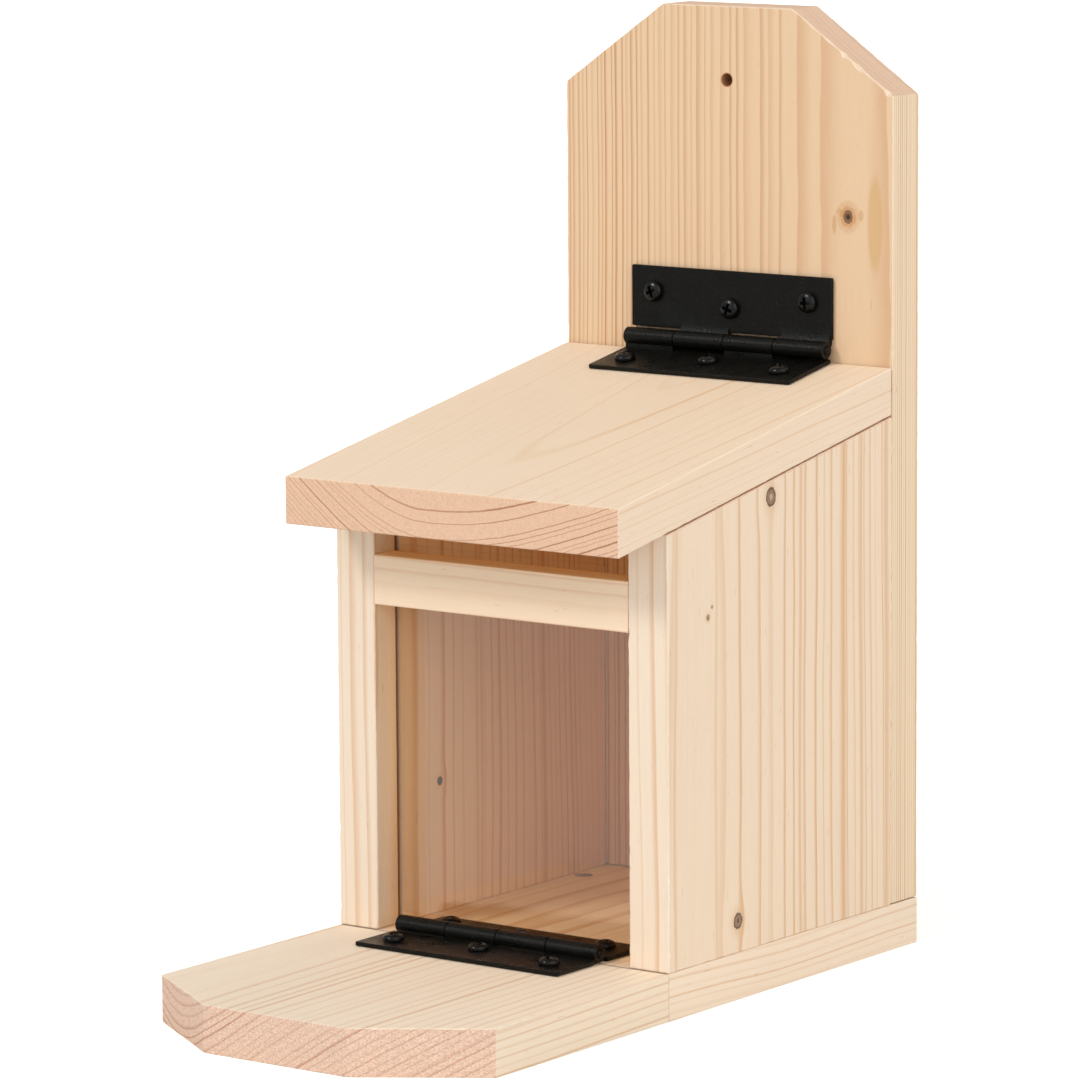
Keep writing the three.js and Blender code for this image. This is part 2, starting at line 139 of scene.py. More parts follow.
class Graph:
    """A material's node tree, with short calls for the nodes that the materials here use."""

    def __init__(self, name):
        self.material = bpy.data.materials.new(name)
        self.material.use_nodes = True
        self.tree = self.material.node_tree
        self.tree.nodes.clear()
        self.output = self.node("ShaderNodeOutputMaterial")
        self.coordinates = self.node("ShaderNodeTexCoord")

    def node(self, kind, **settings):
        made = self.tree.nodes.new(kind)
        for key, value in settings.items():
            setattr(made, key, value)
        return made

    def feed(self, socket, value):
        if isinstance(value, bpy.types.NodeSocket):
            self.tree.links.new(value, socket)
        elif value is not None:
            socket.default_value = value

    def math(self, operation, a, b=None, c=None):
        made = self.node("ShaderNodeMath", operation=operation)
        for socket, value in zip(made.inputs, (a, b, c)):
            self.feed(socket, value)
        return made.outputs[0]

    def add(self, a, b):
        return self.math("ADD", a, b)

    def subtract(self, a, b):
        return self.math("SUBTRACT", a, b)

    def times(self, a, b):
        return self.math("MULTIPLY", a, b)

    def vector_math(self, operation, a, b=None):
        made = self.node("ShaderNodeVectorMath", operation=operation)
        self.feed(made.inputs[0], a)
        self.feed(made.inputs[1], b)
        return made.outputs["Value" if operation in ("DOT_PRODUCT", "LENGTH") else "Vector"]

    def combine(self, x, y, z):
        made = self.node("ShaderNodeCombineXYZ")
        for socket, value in zip(made.inputs, (x, y, z)):
            self.feed(socket, value)
        return made.outputs[0]

    def separate(self, vector):
        made = self.node("ShaderNodeSeparateXYZ")
        self.feed(made.inputs[0], vector)
        return made.outputs

    def noise(self, vector, scale, detail=2.0, roughness=0.5, output="Fac"):
        made = self.node("ShaderNodeTexNoise")
        self.feed(made.inputs["Vector"], vector)
        made.inputs["Scale"].default_value = scale
        made.inputs["Detail"].default_value = detail
        made.inputs["Roughness"].default_value = roughness
        return made.outputs[output]

    def noise_1d(self, value, scale, detail=1.0):
        made = self.node("ShaderNodeTexNoise", noise_dimensions="1D")
        self.feed(made.inputs["W"], value)
        made.inputs["Scale"].default_value = scale
        made.inputs["Detail"].default_value = detail
        return made.outputs["Fac"]

    def random(self, value):
        made = self.node("ShaderNodeTexWhiteNoise", noise_dimensions="1D")
        self.feed(made.inputs["W"], value)
        return made.outputs["Value"]

    def step(self, value, low, high, to_low=0.0, to_high=1.0):
        made = self.node("ShaderNodeMapRange", interpolation_type="SMOOTHSTEP")
        for socket, given in zip(made.inputs, (value, low, high, to_low, to_high)):
            self.feed(socket, given)
        return made.outputs[0]

    def mix(self, share, a, b, blend="MIX"):
        made = self.node("ShaderNodeMix", data_type="RGBA", blend_type=blend)
        self.feed(made.inputs[0], share)
        self.feed(made.inputs[6], a if isinstance(a, bpy.types.NodeSocket) else (*a, 1))
        self.feed(made.inputs[7], b if isinstance(b, bpy.types.NodeSocket) else (*b, 1))
        return made.outputs[2]

    def shade(self, colour, share):
        """The colour times a number."""
        return self.vector_math("MULTIPLY", colour, self.combine(share, share, share))

    def bump(self, height, strength, distance, normal=None):
        made = self.node("ShaderNodeBump")
        made.inputs["Strength"].default_value = strength
        made.inputs["Distance"].default_value = distance
        self.feed(made.inputs["Height"], height)
        self.feed(made.inputs["Normal"], normal)
        return made.outputs[0]

    def principled(self, colour, roughness, normal=None, **plain):
        made = self.node("ShaderNodeBsdfPrincipled")
        self.feed(made.inputs["Base Color"], colour if isinstance(colour, bpy.types.NodeSocket) else (*colour, 1))
        self.feed(made.inputs["Roughness"], roughness)
        self.feed(made.inputs["Normal"], normal)
        for key, value in plain.items():
            made.inputs[key.replace("_", " ")].default_value = value
        self.tree.links.new(made.outputs[0], self.output.inputs["Surface"])
        return made

    def object_mm(self):
        scale = self.node("ShaderNodeVectorMath", operation="SCALE")
        self.tree.links.new(self.coordinates.outputs["Object"], scale.inputs[0])
        scale.inputs["Scale"].default_value = 1 / MM
        return scale.outputs[0]

    def dot(self, vector, axis):
        return self.vector_math("DOT_PRODUCT", vector, tuple(axis))


# ---- Wood: growth rings about a pith, cut by the board's faces -------------------------------------------

EARLY = (0.885, 0.705, 0.525)
LATE = (0.720, 0.420, 0.215)
END_EARLY = (0.775, 0.505, 0.345)
END_LATE = (0.560, 0.300, 0.165)
ARRIS_HIGHLIGHT = (0.930, 0.790, 0.620)
KNOT_CORE = (0.130, 0.070, 0.040)
KNOT_HALO = (0.700, 0.410, 0.200)


def gaussian(g, a, along, half_a, half_along):
    """Falls smoothly from 1 at a point to 0 around it."""
    u = g.math("DIVIDE", a, half_a)
    v = g.math("DIVIDE", along, half_along)
    square = g.add(g.times(u, u), g.times(v, v))
    return g.math("EXPONENT", g.times(square, -1))


def sheet_phase(g, across, depth, along, sheet):
    """Counts the rings of a board sawn far below the pith: wide troughs that climb to each side.

    sheet gives the middle, how blunt the trough is, the lines per mm to its left and right on the
    board's top, and the rings' depth in the middle and out at the sides.
    """
    middle, blunt, left, right, deep, deep_sides, lean = sheet
    off = g.subtract(across, middle)
    arm = g.subtract(g.math("SQRT", g.add(g.times(off, off), blunt * blunt)), blunt)
    lines = g.times(arm, g.step(off, -8.0, 8.0, left, right))
    far = g.math("DIVIDE", off, blunt * 1.5)
    near = g.math("EXPONENT", g.times(g.times(far, far), -1))
    per_depth = g.add(1 / deep_sides, g.times(near, 1 / deep - 1 / deep_sides))
    phase = g.subtract(lines, g.times(depth, per_depth))
    return g.add(phase, g.times(along, lean / deep))


def trough_phase(g, across, depth, trough):
    """Counts the rings of a flat-bottomed trough, whose two sides climb each in its own way."""
    off = g.subtract(across, trough["middle"])
    blunt = g.step(off, -8.0, 8.0, *trough["blunt"])
    arm = g.subtract(g.math("SQRT", g.add(g.times(off, off), g.times(blunt, blunt))), blunt)
    climb = g.times(arm, g.step(off, -8.0, 8.0, *trough["climb"]))
    return ring_phase(g, g.subtract(climb, depth), trough["rings"])


def ring_phase(g, radius, rings):
    """Counts growth rings out from the pith. rings lists (radius, ring width beyond it) in mm."""
    knee, width = rings[0]
    phase = g.math("DIVIDE", g.subtract(radius, knee), width)
    for knee, next_width in rings[1:]:
        beyond = g.math("MAXIMUM", g.subtract(radius, knee), 0)
        phase = g.add(phase, g.times(beyond, 1 / next_width - 1 / width))
        width = next_width
    return phase


def wood(name, board):
    """A board's spruce. board gives the grain's axes, the pith's place and the rings' widths, in mm."""
    g = Graph(name)
    place = g.object_mm()
    along = g.dot(place, board["grain"])
    across = g.dot(place, board["across"])
    depth = g.dot(place, board["depth"])
    seed = board["seed"]
    normal = g.coordinates.outputs["Normal"]
    end = g.step(g.math("ABSOLUTE", g.dot(normal, board["grain"])), 0.45, 0.8)

    # The rings wander slowly along the board and tremble a little.
    slow = g.combine(g.times(across, 0.018), g.times(depth, 0.018), g.add(g.times(along, 0.0075), seed))
    wander = g.separate(g.noise(slow, 1.0, 1.0, output="Color"))
    quick = g.combine(g.times(across, 0.16), g.times(depth, 0.16), g.add(g.times(along, 0.035), seed))
    tremble = g.separate(g.noise(quick, 1.0, 2.0, output="Color"))
    sway = board.get("sway", 3.0)
    a = g.add(across, g.times(g.subtract(wander[0], 0.5), sway))
    trembling = board.get("tremble", 0.5)
    a = g.add(a, g.times(g.subtract(tremble[0], 0.5), trembling))
    d = g.add(depth, g.times(g.subtract(wander[1], 0.5), board.get("sway_deep", sway)))
    d = g.add(d, g.times(g.subtract(tremble[1], 0.5), trembling))

    knots = board.get("knots", ())
    for knot in knots:
        off_a = g.subtract(a, knot["at"][0])
        off_g = g.subtract(along, knot["at"][1])
        reach = knot["size"] * knot.get("reach", 2.2)
        pull = gaussian(g, off_a, off_g, reach, reach * 1.7)
        a = g.subtract(a, g.times(g.times(off_a, pull), knot.get("pull", 0.75)))

    if "sheet" in board:
        below = g.subtract(d, board["surface"])
        phase = sheet_phase(g, a, below, along, board["sheet"])
        if "end_trough" in board:
            end_phase = trough_phase(g, a, below, board["end_trough"])
            phase = g.add(phase, g.times(end, g.subtract(end_phase, phase)))
    else:
        pith_a, pith_d = board["pith"]
        from_a = g.subtract(a, pith_a)
        from_d = g.subtract(d, pith_d)
        radius = g.math("SQRT", g.add(g.times(from_a, from_a), g.times(from_d, from_d)))
        phase = ring_phase(g, radius, board["rings"])
    uneven = g.subtract(g.noise_1d(g.add(phase, seed * 7), 0.55), 0.5)
    phase = g.add(g.add(phase, g.times(uneven, 0.9)), board.get("count_from", 0.45))
    index = g.math("FLOOR", phase)
    share = g.math("FRACT", phase)
    chance = g.random(g.add(index, seed))
    chance_2 = g.random(g.add(index, seed + 31.7))

    # Latewood darkens slowly outwards in each ring and ends sharply.
    start = g.subtract(board.get("late_from", 0.70), g.times(chance, board.get("late_spread", 0.30)))
    rise = g.step(share, start, 0.93)
    fall = g.step(share, 0.94, 1.0, 1.0, 0.0)
    low, high = board.get("contrast", (0.25, 0.95))
    strength = g.add(low, g.times(g.math("POWER", chance_2, 1.5), high - low))
    late = g.times(g.times(rise, fall), strength)
    for at, half_width, share_of_colour in board.get("bands", ()):
        off = g.math("DIVIDE", g.subtract(a, at), half_width)
        band_mask = g.math("EXPONENT", g.times(g.times(off, off), -1))
        late = g.math("MAXIMUM", late, g.times(band_mask, share_of_colour))

    if "calm" in board:
        left, middle, right = board["calm"]
        off = g.subtract(a, board["sheet"][0])
        calm = g.step(off, -17.0, -5.0, left, middle)
        calm = g.add(calm, g.step(off, 5.0, 17.0, 0.0, right - middle))
        on_end = g.step(g.math("ABSOLUTE", g.dot(g.coordinates.outputs["Normal"], board["grain"])), 0.3, 0.6)
        late = g.times(late, g.math("MAXIMUM", calm, on_end))
    if "side_share" in board:
        sideways = g.math("ABSOLUTE", g.dot(g.coordinates.outputs["Normal"], X))
        late = g.times(late, g.step(sideways, 0.5, 0.9, 1.0, board["side_share"]))

    # Fibres, flecks and resin canals, drawn out along the grain.
    fine = g.combine(g.times(across, 2.6), g.times(depth, 2.6), g.times(along, 0.10))
    fibre = g.noise(fine, 1.0, 3.0, 0.6)
    coarse = g.combine(g.times(across, 0.5), g.times(depth, 0.5), g.times(along, 0.02))
    band = g.noise(coarse, 1.0, 2.0, 0.5)
    dash = g.combine(g.times(across, 1.7), g.times(depth, 1.7), g.add(g.times(along, 0.16), seed))
    canal = g.step(g.noise(dash, 1.0, 1.0), 0.735, 0.80)

    early_colour = g.mix(band, board.get("early", EARLY), board.get("early_2", (0.865, 0.670, 0.485)))
    colour = g.mix(late, early_colour, board.get("late", LATE))
    colour = g.mix(g.times(canal, 0.45), colour, (0.52, 0.30, 0.16))
    colour = g.shade(colour, g.add(0.945, g.times(fibre, 0.11)))

    for streak in board.get("streaks", ()):
        mask = gaussian(g, g.subtract(across, streak["at"][0]), g.subtract(along, streak["at"][1]), *streak["half"])
        edge = g.step(g.add(mask, g.times(g.subtract(fibre, 0.5), 0.25)), 0.30, 0.62)
        colour = g.mix(g.times(edge, streak["share"]), colour, streak["colour"])

    for knot in knots:
        colour = knot_colour(g, colour, knot, across, along)

    # End grain: pinker, finely pitted, where the face looks along the grain.
    pits = end_texture(g, across, depth, along, board.get("end_look", "sawn"))
    end_late = g.math("MINIMUM", g.times(late, board.get("end_gain", 1.25)), 1.0)
    end_colour = g.mix(end_late, board.get("end_early", END_EARLY), board.get("end_late", END_LATE))
    deep = board.get("end_marks", 0.12)
    end_colour = g.shade(end_colour, g.step(pits, 0.25, 0.75, 1 - deep, 1 + deep))
    colour = g.mix(end, colour, end_colour)

    # Painted highlight: the arrises, which the saw has frayed, are painted paler, as if they catch the light.
    tilt = g.math("ABSOLUTE", g.dot(normal, board["faces"]))
    arris = g.times(g.step(tilt, 0.15, 0.45), g.step(tilt, 0.88, 0.985, 1.0, 0.0))
    colour = g.mix(g.times(arris, 0.35), colour, ARRIS_HIGHLIGHT)
    # Painted light: faces that look along X get their own tint, brighter or darker as the light falls on them.
    if "side_light_tone" in board:
        aside = g.step(g.math("ABSOLUTE", g.dot(normal, X)), 0.5, 0.9)
        colour = g.mix(aside, colour, g.vector_math("MULTIPLY", colour, board["side_light_tone"]))
    # Painted light: the side panels' front faces are tinted cooler and a little brighter, as in shade under the lid.
    if "front_light_tone" in board:
        front = g.step(g.dot(place, Y), FRONT + 0.3, FRONT + 0.9, 1.0, 0.0)
        colour = g.mix(front, colour, g.vector_math("MULTIPLY", colour, board["front_light_tone"]))
    # Painted light: faces inside the box are painted warmer and brighter, standing in for light bounced between the
    # boards.
    if board.get("takes_painted_inside_light", True):
        colour = g.mix(inside_light_mask(g, place), colour, g.vector_math("MULTIPLY", colour, PAINTED_INSIDE_LIGHT))
    if "grooved" in board:
        # Painted shade: deep in the saw cuts for the pane the wood is painted dark brown.
        colour = g.mix(groove_shade_mask(g, place), colour, g.vector_math("MULTIPLY", colour, GROOVE_SHADE))
        # Painted shade: the side panels' inner faces in front of the pane are painted a little darker.
        colour = g.mix(lip_shade_mask(g, place), colour, g.vector_math("MULTIPLY", colour, LIP_SHADE))
    # Painted shade: the walls of drilled holes and a hair around their mouths are painted darker.
    for centre, radius in board.get("bores", ()):
        bore = bore_shade_mask(g, across, along, centre, radius)
        colour = g.mix(bore, colour, g.vector_math("MULTIPLY", colour, BORE_SHADE))
    # Painted shade: the rail's top face, in the slot under the lid, is painted darker and more orange.
    if "slot_shade_tone" in board:
        upper = g.step(g.dot(place, Z), RAIL_TOP - 0.35, RAIL_TOP - 0.1)
        colour = g.mix(upper, colour, g.vector_math("MULTIPLY", colour, board["slot_shade_tone"]))

    roughness = g.add(g.step(fibre, 0.3, 0.7, 0.56, 0.70), g.times(end, 0.14))
    height = g.add(g.times(late, 0.35), g.times(fibre, 0.55))
    height = g.add(height, g.times(g.times(pits, end), 1.6))
    normal_out = g.bump(height, 0.55, 0.00012)
    g.principled(colour, roughness, normal_out, Specular_IOR_Level=0.35)
    return g.material


def inside_light_mask(g, place):
    """Where warm bounced light is painted inside the box: 1 on the faces that look into the box, rising from 0 at its
    open front.
    """
    x, y, z = g.separate(place)
    mask = g.step(g.math("ABSOLUTE", x), INNER_X + 0.2, INNER_X + 0.6, 1.0, 0.0)
    mask = g.times(mask, g.step(y, FRONT - 4, FRONT + 14))
    mask = g.times(mask, g.step(y, BACK_FACE + 0.3, BACK_FACE + 0.8, 1.0, 0.0))
    mask = g.times(mask, g.step(z, TOP_OF_FLOOR - 0.8, TOP_OF_FLOOR - 0.3))
    below_lid = g.subtract(LID_SURFACE - TOP_OF_FLOOR + 0.4, g.dot(place, SLOPE_UP))
    return g.times(mask, g.step(below_lid, -0.4, 0.4))


def groove_shade_mask(g, place):
    """Where shade is painted into the saw cuts that hold the pane: 1 deep in them, 0 at their mouths."""
    x, y, z = g.separate(place)
    mask = g.step(g.math("ABSOLUTE", x), INNER_X + 0.7, INNER_X + 1.4)
    mask = g.times(mask, g.step(g.math("ABSOLUTE", x), INNER_X + 4.6, INNER_X + 5.0, 1.0, 0.0))
    mask = g.times(mask, g.step(y, PANE_FRONT - 1.2, PANE_FRONT - 1.0))
    return g.times(mask, g.step(y, PANE_BACK + 1.0, PANE_BACK + 1.2, 1.0, 0.0))


def lip_shade_mask(g, place):
    """Where shade is painted: 1 on the side panels' inner faces where they stand in front of the pane."""
    x, y, z = g.separate(place)
    mask = g.step(g.math("ABSOLUTE", x), INNER_X + 0.1, INNER_X + 0.3, 1.0, 0.0)
    mask = g.times(mask, g.step(y, FRONT + 0.4, FRONT + 1.4))
    return g.times(mask, g.step(y, PANE_FRONT - 0.4, PANE_FRONT + 0.2, 1.0, 0.0))


def bore_shade_mask(g, u, v, centre, radius):
    """Where shade is painted in a drilled hole: 1 on its wall and for a hair around its mouth."""
    off_u = g.subtract(u, centre[0])
    off_v = g.subtract(v, centre[1])
    distance = g.math("SQRT", g.add(g.times(off_u, off_u), g.times(off_v, off_v)))
    return g.step(distance, radius + 0.05, radius + 0.45, 1.0, 0.0)


def end_texture(g, across, depth, along, look):
    """Fine saw marks that slant across the end of a board, or the pale specks of torn fibres."""
    if look == "torn":
        return g.noise(g.combine(g.times(across, 1.5), g.times(depth, 1.9), g.times(along, 1.5)), 1.0, 1.5, 0.6)
    slant = g.add(across, g.times(depth, 1.1))
    cross = g.subtract(across, depth)
    up = g.noise(g.combine(g.times(slant, 3.4), g.times(cross, 0.6), g.times(along, 0.5)), 1.0, 1.0)
    down = g.noise(g.combine(g.times(cross, 3.4), g.times(slant, 0.6), g.times(along, 0.5)), 1.0, 1.0)
    return g.times(g.add(up, down), 0.5)


def knot_colour(g, colour, knot, across, along):
    """Paints a branch's end: a dark rim about a lighter heart, in a halo of orange wood."""
    size = knot["size"]
    squash = knot.get("tall", 1.15)
    off_a = g.math("DIVIDE", g.subtract(across, knot["at"][0]), size)
    off_g = g.math("DIVIDE", g.subtract(along, knot["at"][1]), size * squash)
    uneven = g.noise(g.combine(off_a, off_g, knot["at"][0]), 1.6, 3.0, 0.6)
    distance = g.math("SQRT", g.add(g.times(off_a, off_a), g.times(off_g, off_g)))
    distance = g.add(distance, g.times(g.subtract(uneven, 0.5), 0.55))
    halo = g.step(distance, 1.0, knot.get("halo_size", 2.6), 1.0, 0.0)
    curl = g.math("SINE", g.add(g.times(distance, 7), g.times(uneven, 9)))
    halo = g.times(halo, g.step(curl, -1.0, 1.0, 0.55, 1.0))
    colour = g.mix(g.times(halo, knot.get("halo", 0.5)), colour, knot.get("halo_colour", KNOT_HALO))
    whorl = g.math("SINE", g.times(distance, 15))
    heart = g.mix(g.step(whorl, -1.0, 1.0), knot["heart"], tuple(c * 0.62 for c in knot["heart"]))
    pip_size = knot.get("pip_size", 0.40)
    heart = g.mix(g.step(distance, pip_size * 0.4, pip_size, 0.92, 0.0), heart, knot.get("pip", KNOT_CORE))
    rim = g.times(g.step(distance, 0.58, 0.84), g.step(distance, 0.92, 1.14, 1.0, 0.0))
    colour = g.mix(g.step(distance, 0.90, 1.06, 1.0, 0.0), colour, heart)
    return g.mix(g.times(rim, knot.get("rim", 0.85)), colour, KNOT_CORE)


SLOPE_ALONG = Vector((0, math.cos(LID_SLOPE), math.sin(LID_SLOPE)))
SLOPE_UP = Vector((0, -math.sin(LID_SLOPE), math.cos(LID_SLOPE)))
LID_FRONT_TOP = Vector((0, LID_BOX[LOW][1], lid_height(LID_BOX[LOW][1], True))) / MM
LID_SURFACE = LID_FRONT_TOP.dot(SLOPE_UP)
LID_START = LID_FRONT_TOP.dot(SLOPE_ALONG)
FRONT = FRONT_Y / MM
BACK_FACE = BACK_FACE_Y / MM
OUTER = HALF_WIDTH / MM
TOP_OF_FLOOR = THICKNESS / MM
INNER_X = OUTER - TOP_OF_FLOOR
PANE_FRONT = PANE_BOX[LOW][1] / MM
PANE_BACK = PANE_BOX[HIGH][1] / MM
RAIL_TOP = RAIL_BOX[HIGH][2] / MM
DRAIN_RADIUS = 2.8
DRAIN_X = 44.2
DRAIN_Y = FRONT + 103.7
HANGING_RADIUS = 2.0
HANGING_HEIGHT = 271.8
# Tint of the painted light on the side panels' front faces.
FRONT_LIGHT_TONE = (0.99, 1.045, 1.12)
# Tint of the painted shade in the pane's saw cuts.
GROOVE_SHADE = (0.60, 0.35, 0.18)
# Tint of the painted bounced light inside the box.
PAINTED_INSIDE_LIGHT = (1.16, 1.02, 0.80)
# Tint of the painted shade on the side panels' inner faces in front of the pane.
LIP_SHADE = (0.88, 0.86, 0.84)
# Tint of the painted shade in the drilled holes.
BORE_SHADE = (0.52, 0.34, 0.20)

BOARDS = {
    "back_board": {
        "grain": Z, "across": X, "depth": Y, "faces": Y, "seed": 3.0,
        "pith": (48.0, BACK_FACE + 121), "rings": ((121.75, 1.19),), "sway": 2.4, "sway_deep": 0.3,
        "count_from": 0.0,
        "contrast": (0.30, 1.0), "late_from": 0.56, "late_spread": 0.42, "tremble": 0.32,
        "early": (0.790, 0.572, 0.372), "early_2": (0.768, 0.544, 0.337), "late": (0.545, 0.262, 0.110),
        "side_light_tone": (1.12, 1.24, 1.35), "bores": (((0.0, HANGING_HEIGHT), HANGING_RADIUS),),
        "end_early": (0.750, 0.520, 0.365), "end_late": (0.600, 0.345, 0.205), "end_gain": 1.0, "end_marks": 0.06,
        "knots": ({"at": (45.7, 231.0), "size": 1.8, "heart": (0.34, 0.16, 0.07), "halo": 0.95, "pull": 0.35,
                   "halo_colour": (0.580, 0.290, 0.110),
                   "reach": 2.0, "rim": 0.35, "pip": (0.030, 0.018, 0.012), "pip_size": 0.62, "halo_size": 3.0},),
        "streaks": (
            {"at": (55.7, 229.0), "half": (3.0, 17.0), "share": 0.60, "colour": (0.640, 0.385, 0.150)},
            {"at": (40.6, 228.4), "half": (0.9, 3.4), "share": 0.55, "colour": (0.560, 0.300, 0.130)},
            {"at": (42.4, 232.6), "half": (1.5, 0.9), "share": 0.40, "colour": (0.600, 0.330, 0.150)},
            {"at": (50.6, 231.6), "half": (1.0, 1.9), "share": 0.50, "colour": (0.560, 0.300, 0.130)},
        ),
    },
    "side_panel_right": {
        "grain": Z, "across": Y, "depth": X, "faces": X, "seed": 11.0, "grooved": True, "front_light_tone": FRONT_LIGHT_TONE,
        "pith": (FRONT + 14, OUTER - 50), "rings": ((0, 4.5), (72, 4.0), (92, 2.9)), "sway": 4.5,
        "contrast": (0.28, 0.88), "late_from": 0.74, "late_spread": 0.25, "late": (0.700, 0.395, 0.185),
        "end_gain": 0.8,
        "bands": ((FRONT + 94.0, 1.5, 0.75), (FRONT + 70.5, 0.8, 0.6), (FRONT + 104.0, 0.9, 0.6),
                  (FRONT + 118.0, 1.1, 0.6), (FRONT + 4.2, 0.7, 0.5), (FRONT + 25.5, 0.7, 0.4)),
        "knots": (
            {"at": (FRONT + 54.3, 152.4), "size": 2.5, "heart": (0.44, 0.27, 0.16), "halo": 0.3, "pull": 0.6,
             "pip": (0.60, 0.45, 0.32)},
            {"at": (FRONT + 36.4, 24.5), "size": 2.2, "heart": (0.42, 0.27, 0.17), "halo": 0.45, "pull": 0.9},
            {"at": (FRONT + 20.8, 119.9), "size": 0.8, "heart": (0.55, 0.33, 0.17), "halo": 0.5, "rim": 0.4},
            {"at": (FRONT + 22.9, 122.9), "size": 0.5, "heart": (0.55, 0.40, 0.25), "halo": 0.3, "rim": 0.3},
        ),
    },
    "side_panel_left": {
        "grain": Z, "across": Y, "depth": X, "faces": X, "seed": 23.0, "grooved": True, "front_light_tone": FRONT_LIGHT_TONE,
        "pith": (FRONT - 12, -OUTER + 66), "rings": ((0, 4.2), (80, 3.4), (105, 2.6)), "sway": 4.0,
        "contrast": (0.2, 0.9), "late_spread": 0.4, "late": (0.680, 0.370, 0.170), "end_gain": 0.8,
        "bands": ((FRONT + 88.0, 1.2, 0.7), (FRONT + 54.0, 0.8, 0.5), (FRONT + 19.5, 1.6, 0.55)),
        "knots": ({"at": (FRONT + 32.5, 56.4), "size": 1.25, "heart": (0.10, 0.07, 0.06), "halo": 0.3},),
    },
    "front_rail": {
        "grain": X, "across": Z, "depth": Y, "faces": X, "seed": 31.0,
        "pith": (70.0, FRONT + 60), "rings": ((0, 3.4),), "sway": 3.0, "contrast": (0.14, 0.45),
        "slot_shade_tone": (1.0, 0.82, 0.58),
        "early": (0.900, 0.725, 0.550), "early_2": (0.885, 0.700, 0.520),
    },
    "floor_board": {
        "grain": Y, "across": X, "depth": Z, "faces": Z, "seed": 41.0,
        "pith": (-14.0, TOP_OF_FLOOR + 46), "rings": ((0, 3.0), (60, 2.2), (78, 1.5)), "sway": 3.0,
        "contrast": (0.15, 0.7), "early": (0.920, 0.750, 0.572), "early_2": (0.900, 0.720, 0.540),
        "bores": (((-DRAIN_X, DRAIN_Y), DRAIN_RADIUS), ((DRAIN_X, DRAIN_Y), DRAIN_RADIUS)),
    },
    "landing_board": {
        "grain": Y, "across": X, "depth": Z, "faces": Z, "seed": 53.0, "surface": TOP_OF_FLOOR,
        "sheet": (-47.0, 22.0, 0.20, 0.245, 3.2, 2.7, 0.02), "sway": 2.0, "count_from": 0.1, "calm": (1.0, 0.15, 1.0),
        "side_light_tone": (0.94, 0.925, 0.90),
        "contrast": (0.30, 0.80), "late_from": 0.70, "late_spread": 0.2, "end_look": "torn", "side_share": 0.85,
        "early": (0.955, 0.805, 0.632), "early_2": (0.935, 0.770, 0.590),
        "end_early": (0.780, 0.545, 0.410), "end_late": (0.540, 0.285, 0.185), "end_marks": 0.17,
    },
    "lid_board": {
        "grain": SLOPE_ALONG, "across": X, "depth": SLOPE_UP, "faces": X, "seed": 67.0, "surface": LID_SURFACE,
        "sheet": (1.0, 26.0, 0.36, 0.195, 4.4, 2.4, -0.06), "sway": 2.0, "count_from": 0.19,
        "end_trough": {"middle": -8.0, "blunt": (40.0, 70.0), "climb": (1.06, 0.53),
                       "rings": ((-0.3, 10.0), (5.2, 3.5), (9.4, 4.7), (14.3, 1.8))},
        "takes_painted_inside_light": False, "end_marks": 0.12, "end_late": (0.430, 0.205, 0.100),
        "contrast": (0.24, 0.46), "late_from": 0.87, "late_spread": 0.06, "end_gain": 2.7, "side_share": 0.8,
        "calm": (0.7, 0.55, 1.5),
        "late": (0.740, 0.450, 0.215),
    },
}

# ---- Metal and acrylic -------------------------------------------------------------------------------------


def black_steel(name, colour, roughness, grit, grain, specular):
    """Black paint with a fine grit in it, grain lumps to the mm, and a few rubbed brown specks."""
    g = Graph(name)
    place = g.object_mm()
    fine = g.noise(place, grain, 3.0, 0.65)
    patch = g.noise(place, 0.22, 2.0, 0.5)
    speck = g.step(g.noise(place, 2.1, 1.0), 0.67, 0.75)
    base = g.mix(patch, colour, tuple(c * 1.9 for c in colour))
    base = g.mix(g.times(speck, 0.4), base, (0.060, 0.045, 0.032))
    shine = g.add(g.step(patch, 0.3, 0.7, roughness - 0.05, roughness + 0.07), g.times(fine, 0.10))
    g.principled(base, shine, g.bump(fine, grit, 0.00012), Specular_IOR_Level=specular)
    return g.material


def zinc_steel(name):
    g = Graph(name)
    place = g.object_mm()
    patch = g.noise(place, 0.8, 2.0)
    base = g.mix(patch, (0.56, 0.55, 0.50), (0.70, 0.69, 0.66))
    fine = g.noise(place, 4.0, 2.0)
    g.principled(base, g.step(patch, 0.3, 0.7, 0.26, 0.40), g.bump(fine, 0.25, 0.00006), Metallic=1.0)
    return g.material


def dowel_wood(name):
    g = Graph(name)
    place = g.object_mm()
    x, y, z = g.separate(place)
    fibre = g.noise(g.combine(g.times(x, 0.12), g.times(y, 2.0), g.times(z, 2.0)), 1.0, 3.0)
    base = g.mix(fibre, (0.52, 0.34, 0.19), (0.66, 0.47, 0.29))
    g.principled(base, 0.6, g.bump(fibre, 0.4, 0.0001))
    return g.material


